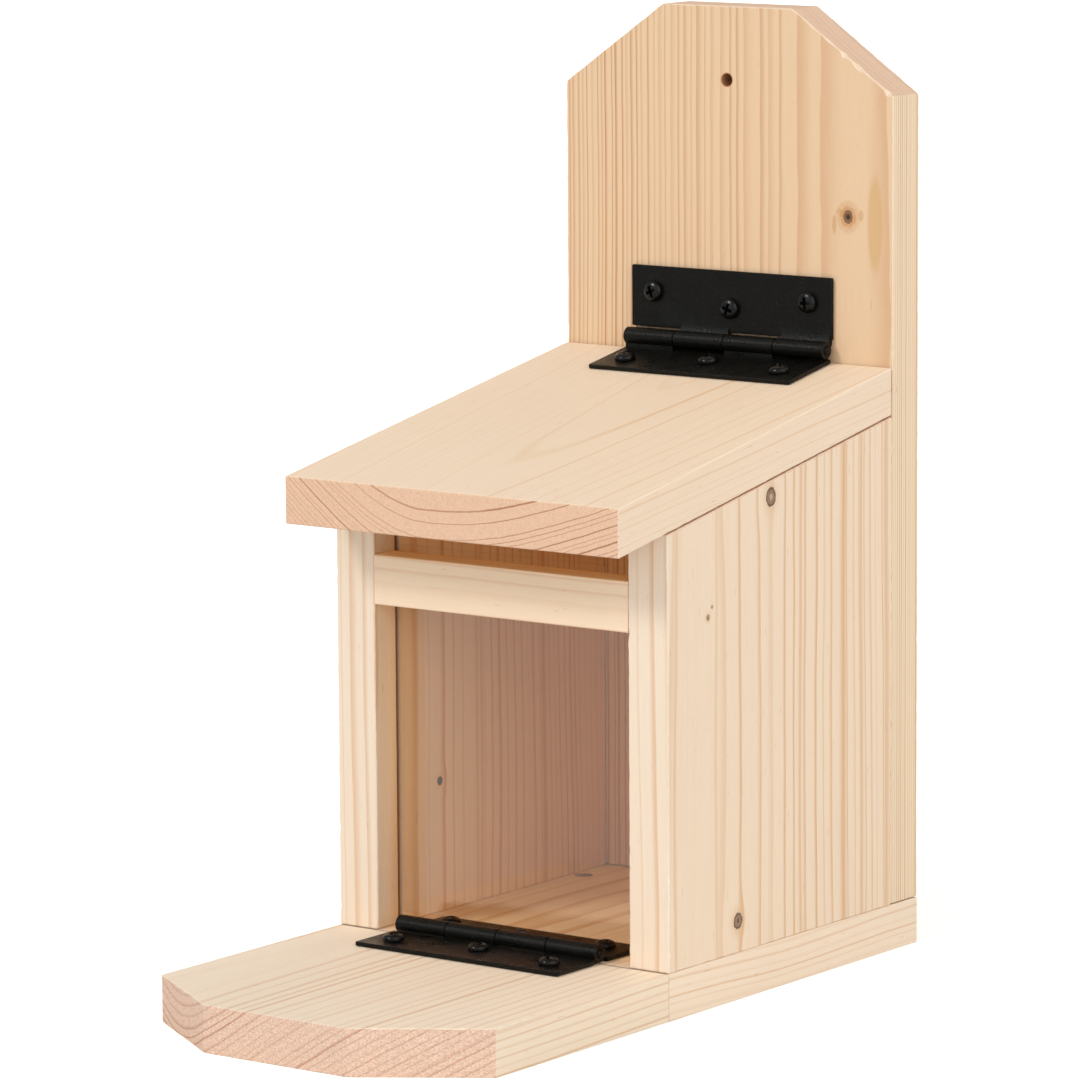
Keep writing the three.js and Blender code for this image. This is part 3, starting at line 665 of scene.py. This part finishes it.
def clear_acrylic(name):
    """Thin clear sheet: it lets light straight through and mirrors by Fresnel; its sawn edges are frosted, and
    painted wood-brown as a stand-in for the wood seen through them.
    """
    g = Graph(name)
    place = g.object_mm()
    clear = g.node("ShaderNodeBsdfTransparent")
    clear.inputs["Color"].default_value = (0.985, 0.988, 0.988, 1)
    gloss = g.node("ShaderNodeBsdfGlossy")
    gloss.inputs["Color"].default_value = (1, 1, 1, 1)
    smear = g.noise(place, 0.05, 2.0)
    g.feed(gloss.inputs["Roughness"], g.step(smear, 0.3, 0.7, 0.02, 0.05))
    tilt = g.node("ShaderNodeLayerWeight")
    tilt.inputs["Blend"].default_value = 0.5
    grazing = g.math("POWER", tilt.outputs["Facing"], 5.0)
    edge = g.step(g.math("ABSOLUTE", g.dot(g.coordinates.outputs["Normal"], Y)), 0.75, 0.95, 1.0, 0.0)
    mirror = g.add(0.062, g.times(grazing, 0.93))
    sheet = g.node("ShaderNodeMixShader")
    g.feed(sheet.inputs[0], g.times(mirror, g.subtract(1.0, g.times(edge, 0.9))))
    g.tree.links.new(clear.outputs[0], sheet.inputs[1])
    g.tree.links.new(gloss.outputs[0], sheet.inputs[2])

    saw = g.noise(g.vector_math("MULTIPLY", place, (2.0, 0.4, 2.0)), 1.0, 2.0)
    frosted = g.node("ShaderNodeBsdfPrincipled")
    # Painted light: the frosted edges' brown stands in for the wood seen through them.
    g.feed(frosted.inputs["Base Color"], g.mix(saw, (0.34, 0.22, 0.12), (0.46, 0.32, 0.19)))
    frosted.inputs["Roughness"].default_value = 0.5
    frosted.inputs["Specular IOR Level"].default_value = 0.15
    g.feed(frosted.inputs["Normal"], g.bump(saw, 0.4, 0.0001))
    both = g.node("ShaderNodeMixShader")
    g.feed(both.inputs[0], g.times(edge, 0.04))
    g.tree.links.new(sheet.outputs[0], both.inputs[1])
    g.tree.links.new(frosted.outputs[0], both.inputs[2])
    g.tree.links.new(both.outputs[0], g.output.inputs["Surface"])
    return g.material


MATERIALS = {node: wood(f"spruce_{node}", board) for node, board in BOARDS.items()}
HINGE_BLACK = black_steel("black_hinge_paint", (0.0028, 0.0027, 0.0021), 0.26, 0.9, 1.5, 0.15)
SCREW_BLACK = black_steel("black_screw_paint", (0.0024, 0.0023, 0.0023), 0.13, 0.16, 3.2, 0.26)
ZINC = zinc_steel("zinc_plate")
DOWEL = dowel_wood("beech_dowel")
ACRYLIC = clear_acrylic("clear_acrylic")

# ---- Mesh tools ----------------------------------------------------------------------------------------------

WELD = 0.003 * MM


def new_object(name, mesh, material=None):
    made = bpy.data.objects.new(name, mesh)
    bpy.context.scene.collection.objects.link(made)
    if material:
        mesh.materials.append(material)
    return made


def from_bmesh(name, bm, material=None):
    bmesh.ops.recalc_face_normals(bm, faces=bm.faces)
    mesh = bpy.data.meshes.new(name)
    bm.to_mesh(mesh)
    bm.free()
    return new_object(name, mesh, material)


def combine_solids(target, others, operation):
    """Joins the others to the target, or cuts them from it, and removes them."""
    for other in others:
        modifier = target.modifiers.new(operation, "BOOLEAN")
        modifier.operation = operation
        modifier.solver = "EXACT"
        modifier.object = other
    graph = bpy.context.evaluated_depsgraph_get()
    mesh = bpy.data.meshes.new_from_object(target.evaluated_get(graph), depsgraph=graph)
    target.modifiers.clear()
    old = target.data
    target.data = mesh
    bpy.data.meshes.remove(old)
    weld(mesh)
    for other in others:
        spare = other.data
        bpy.data.objects.remove(other)
        bpy.data.meshes.remove(spare)
    return target


def weld(mesh):
    """Merges the points that a cut leaves on top of each other and drops faces without an area."""
    bm = bmesh.new()
    bm.from_mesh(mesh)
    bmesh.ops.remove_doubles(bm, verts=bm.verts, dist=WELD)
    bmesh.ops.dissolve_degenerate(bm, edges=bm.edges, dist=WELD)
    bm.to_mesh(mesh)
    bm.free()


def cylinder(radius, start, end, sides=24):
    """A plain closed bar between two points, for cutting with."""
    bm = bmesh.new()
    length = (end - start).length
    bmesh.ops.create_cone(bm, cap_ends=True, segments=sides, radius1=radius, radius2=radius, depth=length)
    turn = (end - start).to_track_quat("Z", "Y").to_matrix().to_4x4()
    bmesh.ops.transform(bm, matrix=Matrix.Translation((start + end) / 2) @ turn, verts=bm.verts)
    return from_bmesh("cutter", bm)


def revolve(outline, sides, matrix, name, material=None):
    """Turns (radius, height) pairs about Z into a closed solid, then places it."""
    bm = bmesh.new()
    rows = []
    for radius, height in outline:
        if radius == 0:
            rows.append([bm.verts.new((0, 0, height))])
            continue
        turns = [2 * math.pi * i / sides for i in range(sides)]
        rows.append([bm.verts.new((radius * math.cos(t), radius * math.sin(t), height)) for t in turns])
    closed = outline[0][0] != 0
    pairs = list(zip(rows, rows[1:] + rows[:1])) if closed else list(zip(rows, rows[1:]))
    for lower, upper in pairs:
        for i in range(sides):
            j = (i + 1) % sides
            corners = [lower[i % len(lower)], lower[j % len(lower)], upper[j % len(upper)], upper[i % len(upper)]]
            bm.faces.new(list(dict.fromkeys(corners)))
    bmesh.ops.transform(bm, matrix=matrix, verts=bm.verts)
    return from_bmesh(name, bm, material)


def smooth(piece, degrees=35):
    for face in piece.data.polygons:
        face.use_smooth = True
    piece.data.set_sharp_from_angle(angle=math.radians(degrees))


def finish_piece(piece, node):
    """Puts a piece on a CAD node's body and hides the node, so that the piece stands in its place."""
    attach(piece, frame["nodes"][node]["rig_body"])
    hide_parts(node)


# ---- Boards: sawn prisms with slightly uneven, frayed arrises -----------------------------------------------


def resample(corners, spacing, rounding):
    """The outline with its corners blunted and points no further apart than the spacing."""
    points = []
    count = len(corners)
    for i, corner in enumerate(corners):
        before = corners[i - 1] - corner
        after = corners[(i + 1) % count] - corner
        points.append(corner + before.normalized() * rounding)
        points.append(corner + (before.normalized() + after.normalized()) * rounding * 0.30)
        points.append(corner + after.normalized() * rounding)
    spaced = []
    for i, point in enumerate(points):
        following = points[(i + 1) % len(points)]
        steps = max(1, math.ceil((following - point).length / spacing))
        spaced.extend(point.lerp(following, k / steps) for k in range(steps))
    return spaced


def prism(name, corners, low, high, axes, material, arris=0.35 * MM, fray=0.5, spacing=1.8 * MM, seed=0.0,
          rounding=0.45 * MM, torn=None):
    """A board sawn to an outline. low and high give its faces' places along the third axis.

    torn names the places on the outline where the saw has torn the lower face's arris.
    """
    u_axis, v_axis, w_axis = axes
    outline = resample([Vector(c) for c in corners], spacing, rounding)
    count = len(outline)
    bm = bmesh.new()

    def uneven(index, side):
        at = outline[index].x * u_axis + outline[index].y * v_axis
        ripple = noise.noise(at / (3.1 * MM) + Vector((seed, side, 0)))
        chip = max(0.0, noise.noise(at / (2.3 * MM) + Vector((0, seed, side * 5))) - 0.35)
        if torn and side == 1 and torn(outline[index]):
            return arris * (1.3 + 1.1 * ripple + 7 * max(0.0, ripple - 0.05) + 8 * chip)
        return arris * (1 + fray * ripple + 4 * fray * chip)

    def ring(inset, height):
        made = []
        for i, point in enumerate(outline):
            along = (outline[(i + 1) % count] - outline[i - 1]).normalized()
            inward = Vector((-along.y, along.x))
            spot = point + inward * inset(i)
            made.append(bm.verts.new(spot.x * u_axis + spot.y * v_axis + height(i) * w_axis))
        return made

    rings = [
        ring(lambda i: uneven(i, 1), lambda i: low),
        ring(lambda i: 0.0, lambda i: low + uneven(i, 1)),
        ring(lambda i: 0.0, lambda i: high - uneven(i, 2)),
        ring(lambda i: uneven(i, 2), lambda i: high),
    ]
    for lower, upper in zip(rings, rings[1:]):
        for i in range(count):
            j = (i + 1) % count
            bm.faces.new((lower[i], lower[j], upper[j], upper[i]))
    bm.faces.new(list(reversed(rings[0])))
    bm.faces.new(rings[-1])
    return from_bmesh(name, bm, material)


# The frame keeps the boards this far apart. Here they meet, but for a hair.
CLOSE = 0.26 * MM


def rectangle(u0, u1, v0, v1):
    return [(u0, v0), (u1, v0), (u1, v1), (u0, v1)]


SCREW_CLEARANCE = 0.3 * MM
PAN = {"radius": 3.3 * MM, "height": 2.2 * MM, "shank": 1.5 * MM, "length": 9.5 * MM, "tip": 2 * MM}
FLAT = {"radius": 3.7 * MM, "height": 2.2 * MM, "shank": 1.9 * MM, "length": 31 * MM, "tip": 3 * MM}

HINGE_NORMALS = {
    "lid_hinge_back": -Y,
    "lid_hinge_lid": SLOPE_UP,
    "landing_hinge_floor": Z,
    "landing_hinge_landing": Z,
}
BOARD_SCREWS = {"back_board_screw": (Y, 4), "floor_side_screw": (-Z, 4), "floor_back_screw": (-Z, 2)}


def screw_top(node, normal):
    """The middle of the top of a CAD screw's head."""
    corners = cad_vertices(node)
    middle = sum(corners, Vector()) / len(corners)
    top = max(corner.dot(normal) for corner in corners)
    return middle + normal * (top - middle.dot(normal))


def pan_hole(node, normal):
    top = screw_top(node, normal)
    end = top - normal * (PAN["height"] + PAN["length"] + PAN["tip"])
    return cylinder(PAN["shank"] + SCREW_CLEARANCE, end, top, 14)


def pan_holes(leaf):
    return [pan_hole(f"{leaf}_screw_{i}", HINGE_NORMALS[leaf]) for i in (1, 2, 3)]


def stand(top, normal):
    """The matrix that stands a piece drawn with its top at the origin and pointing to +Z."""
    return Matrix.Translation(top) @ normal.to_track_quat("Z", "Y").to_matrix().to_4x4()


def flat_holes(family):
    normal, count = BOARD_SCREWS[family]
    wide = SCREW_CLEARANCE
    outline = [
        (0, -FLAT["length"] - FLAT["tip"] - wide),
        (FLAT["shank"] + wide, -FLAT["length"]),
        (FLAT["shank"] + wide, -FLAT["height"] - wide),
        (FLAT["radius"] + wide, -wide),
        (FLAT["radius"] + wide, 2 * MM),
        (0, 2 * MM),
    ]
    tops = [screw_top(f"{family}_{i + 1}", normal) for i in range(count)]
    return [revolve(outline, 20, stand(top, normal), "cutter") for top in tops]


def add_board(node, corners, low, high, axes, cutters=(), **options):
    piece = prism(f"{node}_sawn", corners, low, high, axes, MATERIALS[node], seed=BOARDS[node]["seed"], **options)
    if cutters:
        combine_solids(piece, cutters, "DIFFERENCE")
    finish_piece(piece, node)
    return piece


def add_floor():
    drains = []
    for x in (-DRAIN_X, DRAIN_X):
        below = Vector((x, DRAIN_Y, -1)) * MM
        above = Vector((x, DRAIN_Y, TOP_OF_FLOOR + 1)) * MM
        drains.append(cylinder(DRAIN_RADIUS * MM, below, above, 40))
    (x0, y0, z0), (x1, y1, z1) = FLOOR_BOX
    cutters = drains + pan_holes("landing_hinge_floor") + flat_holes("floor_side_screw")
    cutters += flat_holes("floor_back_screw")
    add_board("floor_board", rectangle(x0, x1, y0, y1), z0, z1, (X, Y, Z), cutters, arris=0.2 * MM,
              rounding=0.12 * MM)


def add_landing():
    (x0, y0, z0), (x1, y1, z1) = LANDING_BOX
    shoulder = max(v.y for v in cad_vertices("landing_board") if v.x > x1 - 0.1 * MM and v.y < (y0 + y1) / 2)
    tip = max(v.x for v in cad_vertices("landing_board") if v.y < y0 + 0.1 * MM)
    y1 += CLOSE * 0.75
    corners = [(x0, shoulder), (-tip, y0), (tip, y0), (x1, shoulder), (x1, y1), (x0, y1)]
    add_board("landing_board", corners, z0, z1, (X, Y, Z), pan_holes("landing_hinge_landing"),
              arris=0.22 * MM, fray=1.0, rounding=0.12 * MM)


def add_back():
    (x0, y0, z0), (x1, y1, z1) = BACK_BOX
    shoulder = max(v.z for v in cad_vertices("back_board") if v.x > x1 - 0.1 * MM)
    tip = max(v.x for v in cad_vertices("back_board") if v.z > z1 - 0.1 * MM)
    corners = [(z0, x0), (shoulder, x0), (z1, -tip), (z1, tip), (shoulder, x1), (z0, x1)]
    hole_front = Vector((0, y0 - 1 * MM, HANGING_HEIGHT * MM))
    hole_back = Vector((0, y1 + 1 * MM, HANGING_HEIGHT * MM))
    hole = cylinder(HANGING_RADIUS * MM, hole_front, hole_back, 40)
    cutters = [hole] + pan_holes("lid_hinge_back") + flat_holes("back_board_screw")
    cutters += flat_holes("floor_back_screw")

    def on_right_cut(spot):
        return shoulder + 1 * MM < spot.x < shoulder + 0.7 * (z1 - shoulder) and spot.y > tip

    add_board("back_board", corners, y0, y1, (Z, X, Y), cutters, fray=0.7, torn=on_right_cut)


def add_lid():
    y0, y1 = LID_BOX[LOW][1], LID_BOX[HIGH][1]
    corners = [
        (y0, lid_height(y0, False)), (y1, lid_height(y1, False)),
        (y1, lid_height(y1, True)), (y0, lid_height(y0, True)),
    ]
    add_board("lid_board", corners, LID_BOX[LOW][0], LID_BOX[HIGH][0], (Y, Z, X), pan_holes("lid_hinge_lid"))


def wavy_groove(side, box):
    """A saw cut for the pane: its walls wander a little and have chipped out in places."""
    inner = side * min(abs(box[LOW][0]), abs(box[HIGH][0]))
    deep = max(abs(PANE_BOX[LOW][0]), abs(PANE_BOX[HIGH][0])) + 0.3 * MM
    front = PANE_BOX[LOW][1] - 0.25 * MM
    back = PANE_BOX[HIGH][1] + 0.25 * MM
    low, high = box[LOW][2] - 1 * MM, box[HIGH][2] + 1 * MM
    steps = 110
    bm = bmesh.new()
    rows = []
    for i in range(steps + 1):
        z = low + (high - low) * i / steps
        ripple = [noise.noise(Vector((z / (6 * MM), k * 3.7, side))) * 0.12 * MM for k in (0, 1)]
        chip = [max(0.0, noise.noise(Vector((z / (3.3 * MM), k * 9.1 + 4, side * 2))) - 0.34) * 1.6 * MM
                for k in (0, 1)]
        mouth = [front - ripple[0] - chip[0], back + ripple[1] + chip[1]]
        outline = [
            (side * deep, front), (inner + side * 0.5 * MM, front), (inner - side * 0.5 * MM, mouth[0]),
            (inner - side * 0.5 * MM, mouth[1]), (inner + side * 0.5 * MM, back), (side * deep, back),
        ]
        rows.append([bm.verts.new((x, y, z)) for x, y in outline])
    for lower, upper in zip(rows, rows[1:]):
        for i in range(len(lower)):
            j = (i + 1) % len(lower)
            bm.faces.new((lower[i], lower[j], upper[j], upper[i]))
    bm.faces.new(rows[0])
    bm.faces.new(rows[-1])
    bmesh.ops.triangulate(bm, faces=bm.faces)
    return from_bmesh("cutter", bm)


def add_side(node, side, box):
    y0, y1 = box[LOW][1], box[HIGH][1]
    tops = [max(v.z for v in cad_vertices(node) if abs(v.y - y) < 0.1 * MM) for y in (y0, y1)]
    heights = [top + CLOSE / 2 for top in tops]
    low = box[LOW][2] - CLOSE
    corners = [(y0, low), (y1, low), (y1, heights[1]), (y0, heights[0])]
    cutters = [wavy_groove(side, box), dowel_hole("left" if side < 0 else "right")]
    cutters += flat_holes("back_board_screw") + flat_holes("floor_side_screw")
    add_board(node, corners, box[LOW][0], box[HIGH][0], (Y, Z, X), cutters, fray=0.7)


def dowel_hole(name):
    low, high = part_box(f"rail_dowel_{name}")
    middle = (Vector(low) + Vector(high)) / 2
    reach = (high[0] - low[0]) / 2 + SCREW_CLEARANCE
    radius = (high[2] - low[2]) / 2 + SCREW_CLEARANCE
    return cylinder(radius, middle - X * reach, middle + X * reach)


def add_rail():
    (x0, y0, z0), (x1, y1, z1) = RAIL_BOX
    cutters = [dowel_hole("left"), dowel_hole("right")]
    add_board("front_rail", rectangle(y0, y1, z0, z1), x0 - CLOSE, x1 + CLOSE, (Y, Z, X), cutters, arris=0.12 * MM)


add_floor()
add_landing()
add_back()
add_lid()
add_side("side_panel_left", -1, LEFT_BOX)
add_side("side_panel_right", 1, RIGHT_BOX)
add_rail()

# ---- Screws ---------------------------------------------------------------------------------------------------


def cross_cutter(span, depth, top, matrix):
    """A cross-recess punch: four wings that narrow as they go down."""
    wings = []
    for turn, deeper in ((0, 0), (math.pi / 2, 0.03 * MM)):
        bm = bmesh.new()
        bmesh.ops.create_cube(bm, size=1)
        for vertex in bm.verts:
            upper = vertex.co.z > 0
            vertex.co.x *= span if upper else span * 0.5
            vertex.co.y *= span * (0.25 if upper else 0.17)
            vertex.co.z = top + 0.2 * MM if upper else top - depth - deeper
        bmesh.ops.transform(bm, matrix=matrix @ Matrix.Rotation(turn, 4, "Z"), verts=bm.verts)
        wings.append(from_bmesh("cutter", bm))
    return wings


def pan_screw(node, normal, turn):
    """A pan-head screw with a domed head, its top at the CAD screw's."""
    radius, height = PAN["radius"], PAN["height"]
    foot = -height
    dome = [(radius * math.cos(t), foot + height * (0.34 + 0.66 * math.sin(t)))
            for t in (math.radians(d) for d in range(0, 90, 9))]
    outline = [
        (0, foot - PAN["length"] - PAN["tip"]),
        (PAN["shank"], foot - PAN["length"]),
        (PAN["shank"], foot),
        (radius * 0.96, foot),
        (radius, foot + height * 0.06),
        *dome,
        (0, 0),
    ]
    matrix = stand(screw_top(node, normal), normal) @ Matrix.Rotation(turn, 4, "Z")
    piece = revolve(outline, 44, matrix, f"{node}_turned", SCREW_BLACK)
    combine_solids(piece, cross_cutter(4.2 * MM, 2.3 * MM, 0, matrix), "DIFFERENCE")
    smooth(piece)
    finish_piece(piece, node)


def flat_screw(node, normal, turn):
    radius, height = FLAT["radius"], FLAT["height"]
    outline = [(0, -FLAT["length"] - FLAT["tip"]), (FLAT["shank"], -FLAT["length"])]
    outline += [(FLAT["shank"], -height), (radius, -0.25 * MM), (radius, 0), (0, 0)]
    matrix = stand(screw_top(node, normal), normal) @ Matrix.Rotation(turn, 4, "Z")
    piece = revolve(outline, 36, matrix, f"{node}_turned", ZINC)
    combine_solids(piece, cross_cutter(4.2 * MM, 1.6 * MM, 0, matrix), "DIFFERENCE")
    smooth(piece)
    finish_piece(piece, node)


PAN_TURNS = (0.35, 1.25, 0.1)
for leaf_index, (leaf, leaf_normal) in enumerate(HINGE_NORMALS.items()):
    for i, turn in enumerate(PAN_TURNS):
        pan_screw(f"{leaf}_screw_{i + 1}", leaf_normal, turn + 0.5 * leaf_index)
for family, (family_normal, family_count) in BOARD_SCREWS.items():
    for i in range(family_count):
        flat_screw(f"{family}_{i + 1}", family_normal, 0.4 + 0.7 * i)

# ---- Hinges ---------------------------------------------------------------------------------------------------

LEAF_REACH = 22.5 * MM
LEAF_THICKNESS = 1.3 * MM
LEAF_GAP = 0.2 * MM
KNUCKLE_RADIUS = 2.8 * MM
KNUCKLE_GAP = 0.3 * MM
KNUCKLE_COUNT = 4
NECK = 6.2 * MM
PIN_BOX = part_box("lid_hinge_pin")
PIN_RADIUS = (PIN_BOX[HIGH][2] - PIN_BOX[LOW][2]) / 2
HINGE_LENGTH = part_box("landing_hinge_floor_leaf")[HIGH][0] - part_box("landing_hinge_floor_leaf")[LOW][0]
BORE_RADIUS = PIN_RADIUS + 0.25 * MM
WALL = (BORE_RADIUS + KNUCKLE_RADIUS) / 2
NECK_ANGLES = [math.radians(degrees) for degrees in (58, 36, 14)]

# Each leaf: the joint it turns on, the way it reaches, its knuckles' numbers from the feeder's left,
# and how far from the pin its plate starts between them and its necks end.
LEAVES = {
    "lid_hinge_back": ("lid_hinge", Z, (1, 3), KNUCKLE_RADIUS + 0.15 * MM, NECK),
    "lid_hinge_lid": ("lid_hinge", -SLOPE_ALONG, (0, 2), -1.6 * MM, 2.4 * MM),
    "landing_hinge_floor": ("landing_hinge", Y, (0, 2), KNUCKLE_RADIUS + 0.55 * MM, NECK),
    "landing_hinge_landing": ("landing_hinge", -Y, (1, 3), KNUCKLE_RADIUS + 0.35 * MM, NECK),
}


def leaf_seat(leaf, centre, normal):
    """How far below the pin's centre the leaf's own underside lies."""
    node = f"{leaf}_leaf"
    return min((corner - centre).dot(normal) for corner in cad_vertices(node))


def knuckle_span(number):
    start = (number / KNUCKLE_COUNT - 0.5) * HINGE_LENGTH + KNUCKLE_GAP / 2
    return start, start + HINGE_LENGTH / KNUCKLE_COUNT - KNUCKLE_GAP


def add_leaf(leaf, joint, reach, knuckles, notch, neck_reach):
    normal = HINGE_NORMALS[leaf]
    centre = JOINT_AT[joint]
    bottom = leaf_seat(leaf, centre, normal)
    half = HINGE_LENGTH / 2
    seed = centre.z * 40

    # The plate is drawn in the plane of the pin and the reach, then raised along the normal.
    u_axis, v_axis = (X, reach) if X.cross(reach).dot(normal) > 0 else (-X, reach)
    corners = rectangle(-half, half, notch, LEAF_REACH)
    plate = prism(f"{leaf}_leaf_rolled", corners, bottom, bottom + LEAF_THICKNESS, (u_axis, v_axis, normal),
                  HINGE_BLACK, arris=0.16 * MM, fray=0.25, spacing=2.5 * MM, seed=seed)
    solids = []
    top = bottom + LEAF_THICKNESS
    for number in knuckles:
        x0, x1 = knuckle_span(number)
        barrel = [
            (BORE_RADIUS, x0), (KNUCKLE_RADIUS - 0.25 * MM, x0), (KNUCKLE_RADIUS, x0 + 0.25 * MM),
            (KNUCKLE_RADIUS, x1 - 0.25 * MM), (KNUCKLE_RADIUS - 0.25 * MM, x1), (BORE_RADIUS, x1),
        ]
        lay = Matrix((normal.cross(X), normal, X)).transposed().to_4x4()
        side = -1 if normal.cross(X).dot(reach) < 0 else 1
        solids.append(revolve(barrel, 48, lay, "cutter"))
        middle = (bottom + top) / 2
        deep = bottom + 0.25 * MM
        neck = [
            (side * neck_reach, middle),
            *[(side * WALL * math.sin(t), -WALL * math.cos(t)) for t in NECK_ANGLES],
            (side * KNUCKLE_RADIUS * 0.5, deep), (side * neck_reach * 0.85, deep),
        ]
        solids.append(neck_solid(neck, x0, x1, (normal.cross(X), normal, X)))
    combine_solids(plate, solids, "UNION")
    for vertex in plate.data.vertices:
        vertex.co += centre
    cutters = pan_holes(leaf)
    combine_solids(plate, cutters, "DIFFERENCE")
    smooth(plate, 30)
    finish_piece(plate, f"{leaf}_leaf")


def neck_solid(outline, x0, x1, axes):
    bm = bmesh.new()
    ends = []
    for x in (x0 + 0.3 * MM, x1 - 0.3 * MM):
        ends.append([bm.verts.new(u * axes[0] + v * axes[1] + x * axes[2]) for u, v in outline])
    count = len(outline)
    for i in range(count):
        j = (i + 1) % count
        bm.faces.new((ends[0][i], ends[0][j], ends[1][j], ends[1][i]))
    bm.faces.new(ends[0])
    bm.faces.new(ends[1])
    return from_bmesh("cutter", bm)


def add_pin(joint):
    half = HINGE_LENGTH / 2
    end = 0.45 * MM
    outline = [(0, -half - end), (PIN_RADIUS * 0.45, -half - end), (PIN_RADIUS * 0.85, -half - end * 0.5)]
    outline += [(PIN_RADIUS, -half), (PIN_RADIUS, half), (PIN_RADIUS * 0.85, half + end * 0.5)]
    outline += [(PIN_RADIUS * 0.45, half + end), (0, half + end)]
    piece = revolve(outline, 32, stand(JOINT_AT[joint], X), f"{joint}_pin_turned", HINGE_BLACK)
    smooth(piece, 50)
    finish_piece(piece, f"{joint}_pin")


for leaf, place in LEAVES.items():
    add_leaf(leaf, *place)
for joint_name in JOINT_AT:
    add_pin(joint_name)

# ---- CAD nodes that keep their own shape ------------------------------------------------------------------------


def dress(node, material, bevel):
    """A CAD node keeps its mesh and gets a material and softened edges."""
    piece = frame["nodes"][node]
    piece.data.materials.clear()
    piece.data.materials.append(material)
    soften = piece.modifiers.new("soften", "BEVEL")
    soften.width = bevel
    soften.segments = 2
    soften.limit_method = "ANGLE"
    soften.angle_limit = math.radians(40)


dress("window_pane", ACRYLIC, 0.12 * MM)
dress("rail_dowel_left", DOWEL, 0.3 * MM)
dress("rail_dowel_right", DOWEL, 0.3 * MM)

# ---- Floor and light ----------------------------------------------------------------------------------------------


def camera_ray(tree):
    return tree.nodes.new("ShaderNodeLightPath").outputs["Is Camera Ray"]


def add_ground():
    """A pale sheet of paper, exposed to white."""
    g = Graph("pale_floor")
    paper = g.node("ShaderNodeBsdfDiffuse")
    g.feed(paper.inputs["Color"], g.mix(camera_ray(g.tree), (0.78, 0.78, 0.78), (1.45, 1.45, 1.45)))
    g.tree.links.new(paper.outputs[0], g.output.inputs["Surface"])
    bm = bmesh.new()
    bmesh.ops.create_grid(bm, x_segments=1, y_segments=1, size=6)
    ground = from_bmesh("ground", bm, g.material)


def add_lamp(name, azimuth, elevation, strength, spread, colour):
    """A softbox a long way off. The azimuth is from the front, and positive to the right."""
    data = bpy.data.lights.new(name, "SUN")
    data.energy = strength * math.pi
    data.angle = math.radians(spread)
    data.color = colour
    lamp = bpy.data.objects.new(name, data)
    bpy.context.scene.collection.objects.link(lamp)
    turn, rise = math.radians(azimuth), math.radians(elevation)
    away = Vector((math.sin(turn) * math.cos(rise), -math.cos(turn) * math.cos(rise), math.sin(rise)))
    lamp.location = away * 2
    lamp.rotation_euler = away.to_track_quat("Z", "Y").to_euler()


def add_world():
    """A dim white tent that the camera sees as white."""
    world = bpy.data.worlds.new("white_tent")
    world.use_nodes = True
    tree = world.node_tree
    tent = tree.nodes["Background"]
    tent.inputs["Color"].default_value = (0.97, 0.985, 1.0, 1)
    tent.inputs["Strength"].default_value = 0.49
    seen = tree.nodes.new("ShaderNodeBackground")
    seen.inputs["Color"].default_value = (1, 1, 1, 1)
    mix = tree.nodes.new("ShaderNodeMixShader")
    tree.links.new(camera_ray(tree), mix.inputs[0])
    tree.links.new(tent.outputs[0], mix.inputs[1])
    tree.links.new(seen.outputs[0], mix.inputs[2])
    tree.links.new(mix.outputs[0], tree.nodes["World Output"].inputs["Surface"])
    bpy.context.scene.world = world


add_ground()
add_world()
add_lamp("key", -25, 38, 0.35, 14, (1.0, 0.985, 0.96))
add_lamp("front", 12, 12, 0.17, 70, (1.0, 1.0, 1.0))
add_lamp("side", 75, 25, 0.37, 60, (1.0, 1.0, 1.0))
add_lamp("back", 172, 30, 0.16, 60, (1.0, 1.0, 1.0))
bpy.context.scene.view_settings.view_transform = "Standard"
